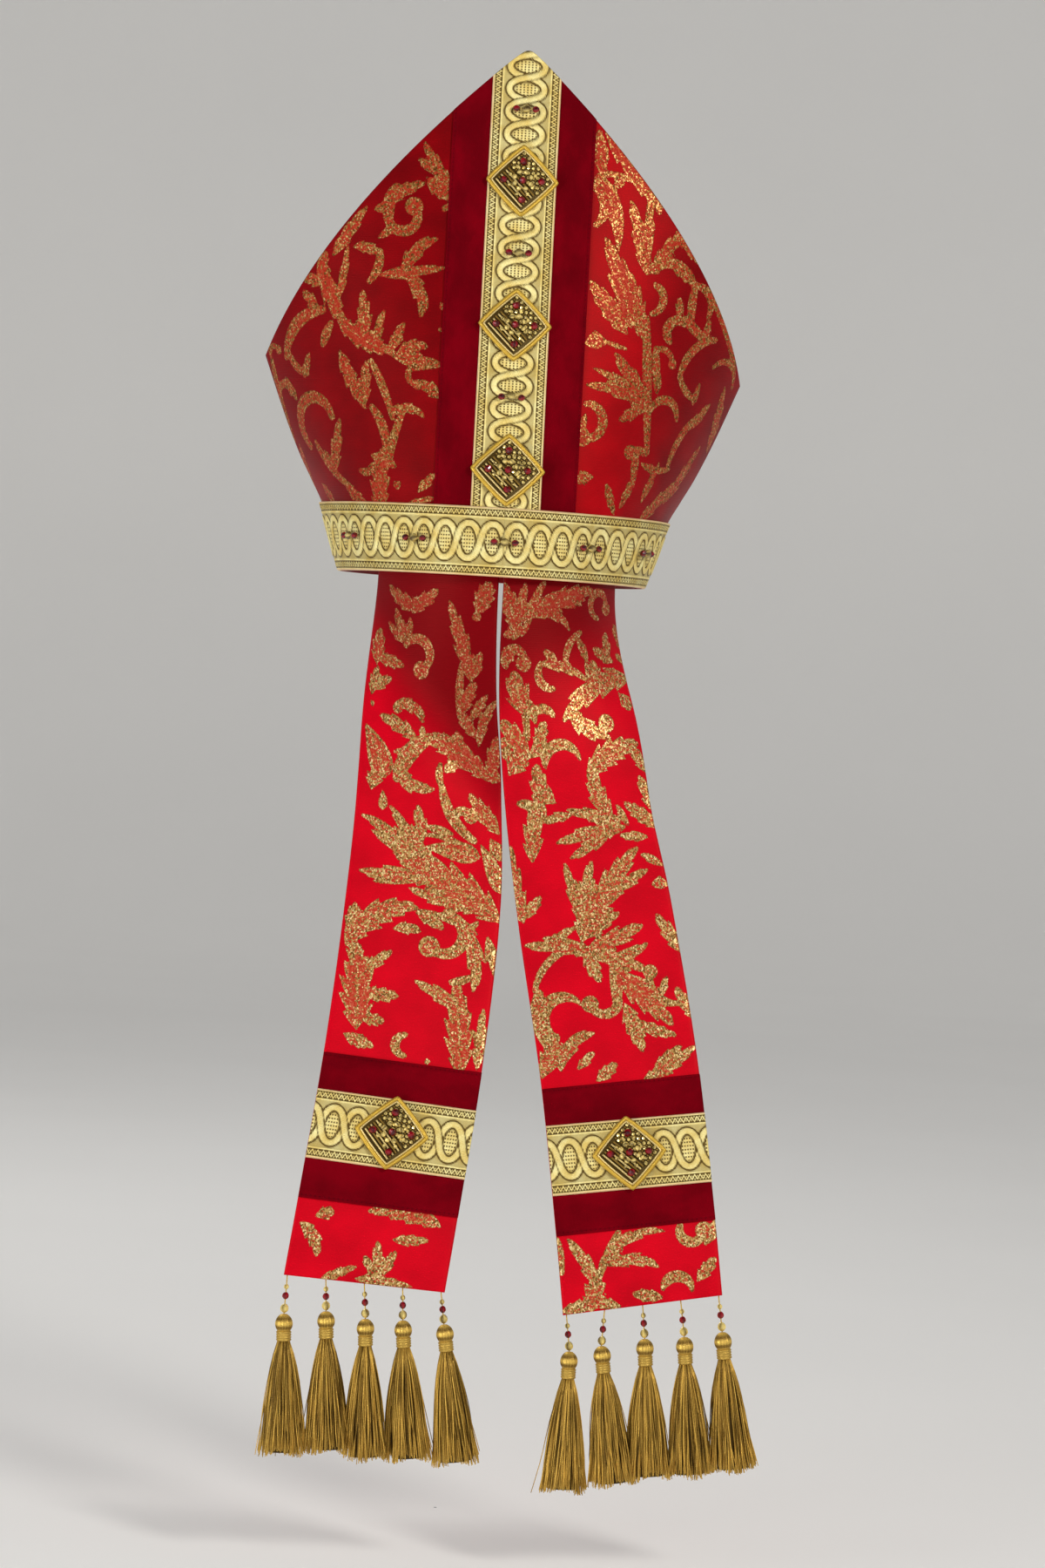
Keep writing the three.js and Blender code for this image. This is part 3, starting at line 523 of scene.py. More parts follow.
# %% The tails' surface
TAIL_THICKNESS, TAIL_SEWN_IN, TAIL_SEAT = 2.0, 34.0, -SHIELD_WALL - 0.95
TAIL_LENGTH = {"left": 412.0, "right": 419.0}
TAIL_RIM_WIDTH, TAIL_HEM_WIDTH, TAIL_GAP, TAIL_REACH_OUT = 87.0, 90.0, 3.0, 89.0
TAIL_WRAP_LENGTH, HEM_TO_VELVET, DENT_DEPTH, DENT_BREADTH = 125.0, 43.0, 4.0, 13.0
DROP_STEPS, TURN_STEP = 840, 6.0
COURSE_DOWN = [0, 0.17, 0.29, 0.46, 0.68, 0.9, 1]
COURSE_OUT = [0, 0.01, 0.06, 0.25, 0.575, 0.89, 1]
COURSE = {
    "left": {"width": [0.93, 0.9, 0.92, 0.987, 1, 1, 1],
             "side": [0.448, 0.415, 0.385, 0.388, 0.467, 0.588, 0.646],
             "slant": [0, 0, 0, 0, 0.03, 0.05, 0.07]},
    "right": {"width": [0.965, 0.96, 0.925, 0.987, 1, 1, 1],
              "side": [0.483, 0.524, 0.558, 0.708, 0.892, 1.029, 1.088],
              "slant": [0, 0, 0, 0, 0.01, -0.02, -0.045]},
}
# Each dent: from down, from across, to down, to across, depth and breadth as shares
DENT = {"left": (0.13, 0.5, 0.33, -0.9, 1, 1), "right": (0, 0.6, 0.2, 0.95, 0.75, 0.92)}


def course(side, key, down):
    values = COURSE_OUT if key == "out" else COURSE[side][key]
    return read_table(COURSE_DOWN, values, np.clip(down / TAIL_LENGTH[side], 0, 1))


def drop_table(side):
    """Height lost down the cloth: each short step, less what it goes out and aside."""
    down = np.linspace(0, TAIL_LENGTH[side], DROP_STEPS + 1)
    out = np.diff(course(side, "out", down)) * TAIL_REACH_OUT
    aside = np.diff(course(side, "side", down)) * TAIL_HEM_WIDTH
    fall = np.sqrt(np.maximum(0, np.diff(down)**2 - out**2 - aside**2))
    return down, np.concatenate([[0], np.cumsum(fall)])


DROP = {side: drop_table(side) for side in TAIL_LENGTH}


def tail_middle(side, down):
    sign = -1 if side == "left" else 1
    x = sign * course(side, "side", down) * TAIL_HEM_WIDTH
    y = -(RIM_HALF[1] + TAIL_SEAT + course(side, "out", down) * TAIL_REACH_OUT)
    return np.stack([x, y, -np.interp(down, *DROP[side])], -1)


def dent_depth(side, across, down):
    """A groove along a straight line on the cloth: deep in its middle, fading like a bell."""
    from_down, from_across, to_down, to_across, deep, broad = DENT[side]
    half, length = TAIL_HEM_WIDTH / 2, TAIL_LENGTH[side]
    start = np.array([from_across * half, from_down * length])
    line = np.array([to_across * half, to_down * length]) - start
    place = np.stack([across, down], -1) - start
    along = np.clip(place @ line / (line @ line), 0, 1)
    away = np.linalg.norm(place - along[..., None] * line, axis=-1)
    fade = np.sin(np.pi * lerp(0.15, 0.85, along))
    return DENT_DEPTH * deep * fade * np.exp(-(away / (DENT_BREADTH * broad))**2)


def unit(vector):
    return vector / np.linalg.norm(vector, axis=-1, keepdims=True)


def tail_point(side, across, down, out):
    """A point of a tail: across from -1 at the inner edge to 1 at the outer one, down the cloth
    from the rim, and out from its outer face. The wrapped form at the rim blends into the
    hanging one."""
    across, down, out = np.broadcast_arrays(*(np.asarray(v, float) for v in (across, down, out)))
    sign = -1 if side == "left" else 1
    width = TAIL_HEM_WIDTH * course(side, "width", down)
    wrap = crown_point(sign * (TAIL_GAP / 2 + (across + 1) / 2 * TAIL_RIM_WIDTH),
                       np.maximum(0, -down), TAIL_SEAT + out)
    wrap[..., 2] = np.where(down > 0, -down, wrap[..., 2])
    hang = np.maximum(0, down)
    run = unit(tail_middle(side, np.minimum(TAIL_LENGTH[side], hang + TURN_STEP))
               - tail_middle(side, np.maximum(0, hang - TURN_STEP)))
    aside = unit(np.cross([0, -1, 0], run)) * sign
    normal = unit(np.cross(run, aside)) * sign
    reach = across * width / 2
    skew = run * course(side, "slant", down)[..., None]
    hung = (tail_middle(side, down) + (aside + skew) * reach[..., None]
            + normal * (out - dent_depth(side, reach, down))[..., None])
    return lerp(wrap, hung, np.where(down > 0, smoothstep(down, 0, TAIL_WRAP_LENGTH), 0)[..., None])


hem = tail_point("left", np.array([-1.0, 1.0]), TAIL_LENGTH["left"], 0)
print("left hem from", hem[0].round(1), "to", hem[1].round(1))

# %% [markdown]
# ## The brocade's pattern
# The brocade is red satin with scrolling acanthus leaves woven in gold thread. A leaf, a stem
# or a curl is a stroke: it starts at one point, bends evenly and ends at another, so a point of
# the cloth has a distance along it and a distance from its middle line. Half the stroke's width
# less the second distance says how deep inside the stroke the point lies. A serrated leaf has a
# saw along its width, swept forward like real lobes. The deepest stroke wins, and the finish
# reads that depth, so edges stay crisp on any grid. The strokes are charted in
# millimetres of cloth, in the manner of such traditional silks.

# %% Strokes of the pattern
FAR_DEPTH = 6.0


def stroke_frame(points, stroke):
    """Distance along a circular arc from start to end that turns by an angle, distance from its
    middle line, positive to the left, and its length."""
    x0, y0, x1, y1, turn = stroke[:5]
    chord = np.array([x1 - x0, y1 - y0])
    reach = np.hypot(*chord)
    half = np.radians(turn if abs(turn) > 1 else 1.0) / 2
    radius = reach / (2 * np.sin(half))
    length = abs(2 * half * radius)
    left = np.array([-chord[1], chord[0]]) / reach
    centre = np.array([x0, y0]) + chord / 2 + left * radius * np.cos(half)
    away = points - centre
    middle = -left * np.sign(radius)
    along = np.arctan2(middle[0] * away[..., 1] - middle[1] * away[..., 0], away @ middle)
    s = along * radius + length / 2
    d = (abs(radius) - np.linalg.norm(away, axis=-1)) * np.sign(radius)
    return s, d, length


def stroke_depth(points, stroke):
    """Depth inside one stroke, and where it is a vein or an edge.
    leaf: a spindle with swept saw teeth; stem: a line that tapers; curl: a stem with a round
    knob at its end; bud: a smooth drop."""
    kind, half, teeth = stroke[5:8]
    s, d, length = stroke_frame(points, stroke)
    size = np.abs(d)
    u = s / length
    if kind == "leaf":
        swept = np.clip(u - 0.55 * size / length, 0, 1)
        body = half * np.sin(np.pi * np.clip(swept, 0, 1)**0.7)**0.75
        saw = np.mod(swept * teeth + 0.35 * (d > 0), 1)
        width = body * (0.5 + 0.5 * saw**0.8) + 0.4 * (1 - u)
    elif kind == "bud":
        width = half * np.sin(np.pi * np.clip(u, 0, 1)**0.6)**0.9
    else:
        width = half * lerp(0.55, 1.0, np.sin(np.pi * np.clip(u, 0, 1)**0.9))
    beyond = np.maximum(np.maximum(-s, s - length), 0)
    depth = width - np.hypot(size, beyond)
    if kind == "curl":
        x0, y0, x1, y1 = stroke[:4]
        depth = np.maximum(depth, half * 1.75 - np.hypot(points[..., 0] - x1, points[..., 1] - y1))
    rib = np.exp(-(size / 0.9)**2) * (0.35 < width / half)
    return depth, np.where(depth > -3, rib, 0)


def weave_pattern(points, strokes):
    """Depth in the gold, 0 at its outline, and the tone of the gold: 0 dense, 1 mixed with red."""
    depth = np.full(points.shape[:-1], -FAR_DEPTH)
    tone = np.zeros_like(depth)
    for stroke in strokes:
        reach = 12 + abs(stroke[6]) + 0.5 * np.hypot(stroke[2] - stroke[0], stroke[3] - stroke[1]) * (
            1 + abs(stroke[4]) / 120)
        middle = np.array([stroke[0] + stroke[2], stroke[1] + stroke[3]]) / 2
        near = np.linalg.norm(points - middle, axis=-1) < reach
        if not near.any():
            continue
        inside, rib = stroke_depth(points[near], stroke)
        wins = inside > depth[near]
        base = (0.25 + 0.75 * stroke[8]) * smoothstep(inside, 0.9, 2.0) * (1 - 0.8 * rib)
        tone[near] = np.where(wins, base, tone[near])
        depth[near] = np.maximum(depth[near], inside)
    return np.clip(depth, -FAR_DEPTH, FAR_DEPTH), tone


# Strokes: from x, y to x, y, turn in degrees, kind, half width, teeth, how much red in its gold
CHART = {
    "left_panel": [
        (-41, 222, -58, 251, 0, "leaf", 4, 3, 0.3), (-41, 230, -61, 241, -10, "leaf", 3.6, 2, 0.4),
        (-55, 230, -41, 218, 0, "leaf", 5, 3, 0.5), (-45, 211, -41, 216, 0, "bud", 1.6, 0, 0.2),
        (-73, 224, -76, 202, 50, "stem", 3.5, 0, 0.5), (-77, 207, -62, 213, 225, "curl", 2.9, 0, 0.6),
        (-78, 214, -56, 227, -30, "leaf", 4, 3, 0.4), (-85, 210, -73, 214, 0, "bud", 2.4, 0, 0.3),
        (-82, 194, -73, 201, 20, "leaf", 2.4, 1, 0.4), (-110, 183, -90, 212, 0, "leaf", 4, 3, 0.5),
        (-97, 188, -80, 183, -50, "leaf", 3.6, 3, 0.2), (-81, 186, -87, 168, -50, "stem", 2.4, 0, 0.3),
        (-107, 157, -101, 189, 12, "leaf", 2.6, 3, 0.6), (-119, 182, -100, 139, 25, "leaf", 6, 4, 0.8),
        (-107, 146, -69, 127, 30, "leaf", 6.5, 5, 0.9), (-90, 129, -91, 163, 10, "leaf", 5.2, 4, 0.3),
        (-83, 129, -77, 152, -10, "leaf", 3, 2, 0.4), (-73, 128, -65, 145, 10, "leaf", 3.6, 2, 0.3),
        (-67, 127, -50, 131, -60, "leaf", 4, 3, 0.6), (-72, 126, -42, 122, 10, "leaf", 4.2, 3, 0.5),
        (-112, 167, -131, 169, 0, "leaf", 4.2, 3, 0.3), (-117, 176, -115, 185, 0, "leaf", 3, 2, 0.6),
        (-121, 152, -131, 162, 0, "leaf", 3.6, 2, 0.3), (-117, 151, -149, 124, 70, "stem", 3.6, 0, 0.5),
        (-146, 126, -132, 114, 70, "stem", 2.2, 0, 0.6), (-135, 112, -129, 126, 0, "leaf", 2.6, 2, 0.2),
        (-118, 131, -112, 143, -10, "stem", 2.8, 0, 0.2), (-66, 174, -47, 195, -60, "leaf", 4.6, 2, 0.2),
        (-80, 172, -42, 178, 6, "leaf", 3.8, 2, 0.9), (-66, 173, -55, 148, -80, "leaf", 4.6, 2, 0.2),
        (-42, 153, -43, 158, 0, "bud", 1.5, 0, 0.2), (-43, 140, -43, 143, 0, "bud", 1, 0, 0.2),
        (-42, 121, -59, 118, 20, "stem", 2, 0, 0.3), (-57, 120, -55, 109, 170, "curl", 1.5, 0, 0.2),
        (-41, 102, -54, 111, 10, "leaf", 4.2, 2, 0.2), (-165, 122, -161, 76, 8, "stem", 2.4, 0, 0.8),
        (-165, 123, -156, 128, -170, "curl", 1.4, 0, 0.4),
        (-165, 102, -146, 100, -150, "stem", 2.2, 0, 0.4),
        (-153, 112, -150, 101, 0, "leaf", 2.4, 2, 0.5), (-106, 127, -88, 94, 15, "leaf", 5, 4, 0.6),
        (-90, 95, -88, 122, 0, "leaf", 4.6, 3, 0.2), (-85, 122, -70, 89, -15, "stem", 2.2, 0, 0.4),
        (-72, 91, -50, 90, -90, "leaf", 3, 3, 0.2), (-84, 95, -74, 68, -50, "stem", 2.8, 0, 0.3),
        (-63, 94, -71, 64, 20, "stem", 2.2, 0, 0.6), (-80, 33, -77, 71, 0, "leaf", 7.5, 4, 0.4),
        (-68, 49, -64, 52, 0, "bud", 2.4, 0, 0.2), (-84, 67, -67, 61, 0, "leaf", 4, 3, 0.3),
        (-93, 58, -83, 59, 60, "curl", 2, 0, 0.3), (-139, 72, -114, 89, -215, "stem", 3.6, 0, 0.6),
        (-119, 55, -108, 88, 14, "leaf", 5, 3, 0.1), (-132, 74, -104, 49, 35, "stem", 2.4, 0, 0.7),
        (-155, 73, -156, 45, 10, "leaf", 4, 3, 0.7), (-137, 50, -123, 36, 0, "leaf", 3.6, 3, 0.7),
        (-108, 50, -87, 36, 10, "leaf", 3.8, 3, 0.6), (-124, 69, -116, 57, 0, "leaf", 2.6, 2, 0.3),
        (-52, 47, -42, 58, 0, "leaf", 2.8, 2, 0.3), (-59, 39, -41, 44, 0, "leaf", 2, 2, 0.5),
        (-157, 42, -143, 33, 0, "leaf", 3, 2, 0.8),
    ],
    "right_panel": [
        (47, 240, 44, 265, 0, "leaf", 5, 4, 0.8), (48, 264, 78, 229, -14, "leaf", 7, 3, 0.8),
        (58, 248, 81, 223, -12, "leaf", 5, 3, 0.5), (45, 239, 74, 233, -40, "stem", 1.6, 0, 0.3),
        (71, 236, 83, 223, -30, "stem", 2.2, 0, 0.4), (43, 237, 59, 194, -50, "bud", 5.4, 0, 0.55),
        (52, 231, 58, 235, 60, "curl", 1.5, 0, 0.2), (43, 231, 45, 209, -110, "stem", 2.8, 0, 0.4),
        (77, 184, 65, 225, 14, "leaf", 5.6, 3, 0.2), (78, 188, 78, 235, -6, "leaf", 3.2, 2, 0.3),
        (81, 221, 86, 222, 0, "bud", 3, 0, 0.1), (70, 151, 51, 202, 16, "leaf", 7.5, 3, 0.7),
        (68, 147, 43, 176, 0, "leaf", 6.5, 4, 0.6), (67, 153, 60, 181, -10, "stem", 0.9, 0, 0),
        (77, 152, 67, 183, 0, "leaf", 5.5, 3, 0.5), (78, 184, 108, 183, -100, "stem", 2.8, 0, 0.4),
        (82, 189, 102, 214, 8, "leaf", 4.6, 3, 0.5), (95, 209, 113, 191, -14, "leaf", 4, 3, 0.5),
        (92, 192, 111, 178, -20, "leaf", 4.4, 3, 0.3), (84, 177, 83, 160, -150, "stem", 2.4, 0, 0.5),
        (78, 184, 89, 189, 0, "leaf", 3, 2, 0.3), (80, 157, 90, 79, 3, "stem", 2.9, 0, 0.4),
        (80, 145, 72, 156, 0, "leaf", 3.6, 2, 0.2), (72, 153, 82, 154, -40, "leaf", 4, 2, 0.2),
        (49, 137, 48, 147, 0, "bud", 6.6, 0, 0.1), (55, 141, 68, 138, 0, "stem", 1.2, 0, 0.4),
        (97, 145, 106, 156, -180, "stem", 3, 0, 0.3), (102, 160, 101, 171, 0, "leaf", 3, 3, 0.2),
        (111, 155, 111, 179, -20, "stem", 2.8, 0, 0.3), (111, 179, 123, 162, -120, "stem", 2.4, 0, 0.4),
        (106, 159, 122, 149, 10, "stem", 2.8, 0, 0.6), (91, 119, 88, 140, 0, "stem", 2.4, 0, 0.3),
        (88, 139, 101, 132, -110, "curl", 1.6, 0, 0.2), (86, 106, 44, 115, 30, "leaf", 4.6, 3, 0.7),
        (83, 111, 61, 135, 0, "leaf", 5, 2, 0.3), (84, 109, 48, 125, 20, "leaf", 3, 3, 0.4),
        (84, 107, 67, 96, -10, "leaf", 4, 3, 0.2), (45, 104, 44, 84, -200, "curl", 2.8, 0, 0.5),
        (42, 81, 45, 98, 0, "leaf", 2.8, 2, 0.3), (89, 104, 111, 100, -150, "stem", 2.4, 0, 0.6),
        (92, 114, 92, 126, 0, "leaf", 3, 2, 0.2), (89, 78, 77, 78, 60, "curl", 2.3, 0, 0.3),
        (83, 64, 74, 45, 0, "leaf", 3, 3, 0.4), (82, 77, 82, 62, 10, "stem", 2.6, 0, 0.5),
        (92, 50, 102, 74, 0, "leaf", 2.8, 2, 0.5), (94, 39, 126, 65, 10, "leaf", 4.4, 3, 0.4),
        (118, 51, 144, 87, 10, "leaf", 5, 3, 0.3), (111, 72, 137, 106, -60, "stem", 2.4, 0, 0.3),
        (158, 84, 152, 123, 0, "leaf", 5.4, 3, 0.2), (126, 96, 141, 112, 0, "leaf", 3.4, 2, 0.3),
        (108, 125, 132, 149, -80, "stem", 2.6, 0, 0.4), (122, 147, 125, 160, 0, "leaf", 3, 2, 0.5),
        (108, 126, 125, 113, 60, "stem", 2, 0, 0.6), (123, 110, 126, 123, 0, "leaf", 2.3, 2, 0.3),
        (135, 133, 161, 123, -130, "stem", 1.7, 0, 0.4), (125, 172, 157, 133, -10, "stem", 2.8, 0, 0.6),
        (52, 62, 41, 59, 20, "leaf", 4.2, 2, 0.5), (62, 58, 70, 41, 0, "leaf", 3, 3, 0.2),
        (87, 72, 114, 71, 40, "leaf", 2.4, 2, 0.4),
    ],
    "left_tail": [
        (45, -197, -18, -165, 22, "leaf", 11, 6, 0.6), (8, -179, -24, -135, 10, "leaf", 5, 3, 0.2),
        (-5, -168, -41, -141, 35, "leaf", 4.2, 2, 0.2), (-9, -168, -34, -150, 20, "leaf", 3.2, 2, 0.3),
        (-3, -155, -7, -134, 0, "leaf", 4.2, 2, 0.5), (8, -175, -39, -175, -8, "leaf", 6, 3, 0.4),
        (-4, -173, -30, -181, -10, "leaf", 3, 2, 0.2), (33, -192, -9, -183, -8, "leaf", 5, 4, 0.4),
        (31, -162, -3, -151, 40, "stem", 1.2, 0, 0.3), (31, -162, -1, -158, 10, "bud", 5.5, 0, 0.7),
        (15, -150, -4, -147, 30, "leaf", 2, 1, 0.5), (-36, -125, -33, -113, 0, "leaf", 6, 3, 0.3),
        (-28, -137, -29, -126, 0, "bud", 2.4, 0, 0.3), (-21, -112, 3, -124, 75, "leaf", 4.6, 2, 0.5),
        (7, -110, 8, -123, 50, "stem", 2, 0, 0.5), (8, -123, 28, -153, 50, "stem", 3, 0, 0.4),
        (16, -143, 26, -139, -170, "curl", 2.3, 0, 0.3), (43, -148, 25, -126, 0, "leaf", 5.5, 4, 0.9),
        (45, -118, 33, -112, 0, "leaf", 4.6, 3, 0.9), (38, -152, 45, -163, 0, "leaf", 4.4, 2, 0.4),
        (45, -181, 32, -155, 10, "bud", 4.6, 0, 0.5), (-41, -221, -3, -194, -75, "leaf", 8.5, 5, 0.5),
        (-15, -208, 0, -208, -40, "leaf", 3.6, 2, 0.2), (-41, -211, -39, -195, 0, "leaf", 3.6, 2, 0.2),
        (-29, -269, -35, -220, 0, "leaf", 10.5, 5, 0.9), (-27, -248, -8, -247, 0, "leaf", 4.6, 3, 0.3),
        (-27, -262, -14, -263, 0, "leaf", 3.8, 3, 0.3), (-29, -234, -15, -221, 0, "leaf", 3.6, 2, 0.3),
        (-37, -230, -35, -219, 0, "leaf", 5, 2, 0.1), (-3, -197, 13, -205, -20, "leaf", 4, 3, 0.3),
        (-2, -196, 18, -201, -30, "stem", 1.4, 0, 0.1), (12, -197, 6, -216, -235, "curl", 3.3, 0, 0.4),
        (22, -198, 34, -239, -45, "leaf", 5.4, 3, 0.5), (26, -203, 32, -199, 60, "stem", 1.6, 0, 0.2),
        (39, -207, 47, -230, 10, "leaf", 3.4, 2, 0.3), (34, -253, 0, -237, 10, "leaf", 4.6, 3, 0.5),
        (33, -288, 24, -234, 0, "leaf", 8.5, 5, 0.9), (42, -283, 41, -248, 0, "leaf", 3.6, 3, 0.3),
        (21, -235, 31, -231, 30, "stem", 2.2, 0, 0.3), (-1, -269, 0, -281, 170, "stem", 2.3, 0, 0.4),
        (-35, -273, -18, -278, 10, "leaf", 4, 4, 0.6), (14, -284, 13, -281, 0, "bud", 1.4, 0, 0.3),
        (-4, -21, -32, -8, -30, "leaf", 5, 4, 0.6), (-14, -19, 6, -9, 40, "leaf", 5, 3, 0.9),
        (33, -22, 40, -3, -10, "leaf", 7, 4, 0.4), (32, -26, 32, -20, 0, "bud", 2.6, 0, 0.2),
        (29, -61, 14, -15, 10, "leaf", 5.6, 4, 0.5), (29, -60, 35, -44, 20, "leaf", 3.6, 2, 0.4),
        (-16, -40, -25, -21, 0, "leaf", 3.6, 2, 0.4), (-13, -39, -13, -26, 0, "leaf", 2.6, 1, 0.5),
        (-18, -40, -30, -29, 0, "leaf", 2.8, 2, 0.4), (-37, -53, -37, -33, 0, "leaf", 6, 3, 0.9),
        (-36, -49, -16, -54, 0, "leaf", 4, 3, 0.7), (-15, -42, -4, -56, -215, "curl", 2.8, 0, 0.5),
        (-39, -70, -36, -55, 0, "leaf", 4.4, 3, 0.2), (-40, -67, -25, -61, 0, "leaf", 3.8, 2, 0.2),
        (-39, -76, -37, -75, 0, "bud", 1.6, 0, 0.2), (-8, -95, -32, -82, 20, "leaf", 4.6, 3, 0.4),
        (-20, -77, -3, -86, -110, "leaf", 3.8, 2, 0.2), (-22, -80, -15, -72, 0, "bud", 3, 0, 0.2),
        (22, -81, 32, -62, -20, "leaf", 5, 3, 0.8), (23, -52, 21, -83, 10, "stem", 2.2, 0, 0.7),
        (29, -94, 21, -79, 0, "leaf", 4, 3, 0.7), (32, -99, 46, -72, -40, "leaf", 3.4, 3, 0.6),
        (28, -84, 39, -69, 0, "leaf", 3, 3, 0.6), (-20, -118, 1, -95, -60, "stem", 5, 0, 0.4),
        (-8, -101, -23, -103, 0, "leaf", 2, 2, 0.2), (23, -100, 3, -92, -10, "leaf", 4, 3, 0.2),
        (21, -100, 18, -91, 0, "leaf", 3, 2, 0.2), (36, -117, -3, -95, 35, "leaf", 7, 5, 0.9),
        (-3, -95, -4, -88, 0, "leaf", 2, 1, 0.3), (10, -114, 18, -107, 0, "leaf", 4, 3, 0.2),
        (38, -116, 44, -94, 0, "leaf", 5, 3, 0.7), (-28, -118, -42, -87, 20, "bud", 7, 0, 0.8),
        (36, -375, -5, -372, 40, "leaf", 6, 4, 0.9), (12, -386, 31, -384, 0, "leaf", 3.2, 3, 0.5),
        (7, -408, 3, -388, 0, "leaf", 3.6, 2, 0.4), (8, -407, 14, -392, 0, "leaf", 3.2, 2, 0.4),
        (6, -408, -3, -397, 0, "leaf", 3, 2, 0.4), (-24, -412, -6, -403, 0, "leaf", 2.6, 3, 0.4),
        (-5, -410, 26, -411, -10, "leaf", 3, 4, 0.8), (-41, -383, -29, -400, -60, "leaf", 4, 3, 0.4),
        (-33, -378, -24, -374, 0, "leaf", 4, 2, 0.5),
    ],
    "right_tail": [
        (-23, -129, -24, -105, 14, "leaf", 6, 3, 0.3), (-14, -126, -23, -118, 0, "leaf", 5, 2, 0.2),
        (-36, -125, -24, -130, -40, "curl", 2.4, 0, 0.2), (-32, -157, -27, -126, 0, "leaf", 6.5, 3, 0.4),
        (-30, -155, -32, -152, 0, "bud", 2.4, 0, 0.1), (-5, -134, -23, -136, 10, "leaf", 3, 2, 0.3),
        (27, -145, -16, -149, 12, "leaf", 5, 3, 0.4), (23, -142, -9, -159, -10, "leaf", 4.6, 3, 0.5),
        (26, -141, -7, -131, 0, "leaf", 4.2, 3, 0.3), (20, -140, 10, -105, -24, "leaf", 6, 4, 0.5),
        (29, -144, 24, -131, 0, "leaf", 2, 1, 0.4), (47, -148, 29, -130, 0, "leaf", 5, 4, 0.3),
        (47, -138, 40, -113, 10, "leaf", 4.6, 2, 0.3), (39, -153, 23, -150, 0, "leaf", 3, 2, 0.3),
        (-42, -192, -44, -147, -22, "leaf", 6.5, 3, 0.7), (-41, -190, -30, -178, 0, "leaf", 3.6, 3, 0.4),
        (-10, -208, 32, -158, -22, "leaf", 8.5, 6, 0.4), (-10, -206, 3, -162, -10, "leaf", 6, 4, 0.2),
        (5, -184, 35, -172, 0, "leaf", 4.4, 3, 0.2), (-8, -197, -13, -161, 0, "leaf", 4, 3, 0.4),
        (-9, -206, 14, -194, 0, "leaf", 3.8, 3, 0.2), (44, -171, 33, -163, 20, "leaf", 2.4, 1, 0.3),
        (40, -184, 41, -177, 0, "bud", 4.4, 0, 0.7), (46, -222, 35, -198, 0, "leaf", 4.6, 3, 0.2),
        (-4, -215, -43, -206, 14, "leaf", 5, 3, 0.5), (-15, -208, -32, -203, -10, "leaf", 3, 2, 0.3),
        (-30, -207, -13, -199, 0, "leaf", 2.8, 2, 0.4), (-7, -213, 26, -203, 10, "leaf", 6, 3, 0.7),
        (-3, -219, 27, -214, 50, "leaf", 4.4, 2, 0.4), (-3, -216, 24, -230, -10, "leaf", 5, 3, 0.5),
        (-8, -213, -3, -233, 20, "leaf", 4.6, 3, 0.5), (-10, -210, -41, -233, 75, "stem", 2, 0, 0.5),
        (-33, -262, -16, -245, -205, "leaf", 6, 0, 0.3), (-39, -235, -39, -265, 40, "stem", 4, 0, 0.4),
        (6, -223, 4, -248, -10, "stem", 3.2, 0, 0.4), (5, -241, -11, -245, -190, "curl", 2.6, 0, 0.3),
        (4, -226, 34, -263, -8, "leaf", 8, 5, 0.9), (9, -248, 15, -276, 0, "leaf", 5.5, 4, 0.2),
        (12, -259, 35, -269, 10, "leaf", 3.8, 4, 0.2), (38, -251, 26, -231, -110, "curl", 2.2, 0, 0.3),
        (29, -246, 35, -235, 0, "leaf", 2.2, 2, 0.2), (47, -261, 39, -242, 0, "leaf", 4.4, 3, 0.4),
        (-33, -282, -11, -262, -80, "leaf", 4.6, 2, 0.5), (-44, -285, -32, -260, 0, "leaf", 6, 4, 0.8),
        (-23, -282, -13, -273, 0, "leaf", 2.8, 2, 0.2), (-13, -290, -1, -281, 0, "leaf", 4, 3, 0.2),
        (13, -293, 45, -276, 8, "leaf", 4.4, 5, 0.4), (21, -285, 37, -275, 0, "leaf", 3, 3, 0.3),
        (-34, -29, -45, -3, -10, "leaf", 6.5, 3, 0.4), (-35, -29, -31, -2, 0, "leaf", 4, 2, 0.4),
        (-29, -27, -19, -2, -24, "stem", 2.6, 0, 0.5), (-28, -20, 10, -13, -70, "leaf", 4.6, 3, 0.6),
        (-29, -22, 1, -28, -90, "leaf", 3.6, 3, 0.5), (-20, -15, 19, -3, 0, "leaf", 7, 4, 0.9),
        (24, -20, 33, -14, -270, "curl", 2.2, 0, 0.3), (-28, -29, -43, -33, 20, "leaf", 4.4, 3, 0.3),
        (-41, -50, -30, -48, -230, "curl", 2.6, 0, 0.4), (-42, -40, -39, -48, 0, "leaf", 5, 2, 0.9),
        (-11, -62, -19, -48, -130, "stem", 2.4, 0, 0.3), (-19, -48, 13, -57, -40, "leaf", 3.4, 3, 0.6),
        (-8, -47, -17, -40, 0, "leaf", 3, 2, 0.4), (-2, -47, 9, -29, -70, "stem", 2.2, 0, 0.5),
        (14, -45, 7, -32, 0, "leaf", 3, 2, 0.4), (14, -56, 13, -44, -20, "stem", 1, 0, 0.5),
        (35, -45, 19, -38, 0, "leaf", 4.2, 2, 0.1), (31, -44, 31, -28, 0, "leaf", 4, 2, 0.1),
        (48, -39, 40, -23, 0, "leaf", 4, 2, 0.3), (49, -46, 39, -41, 0, "leaf", 2.8, 2, 0.1),
        (47, -55, -5, -81, 65, "leaf", 8, 4, 0.4), (22, -58, 17, -45, 0, "leaf", 5, 2, 0.2),
        (33, -56, 35, -49, 0, "leaf", 4, 2, 0.2), (-1, -73, 24, -88, 60, "leaf", 6, 3, 0.4),
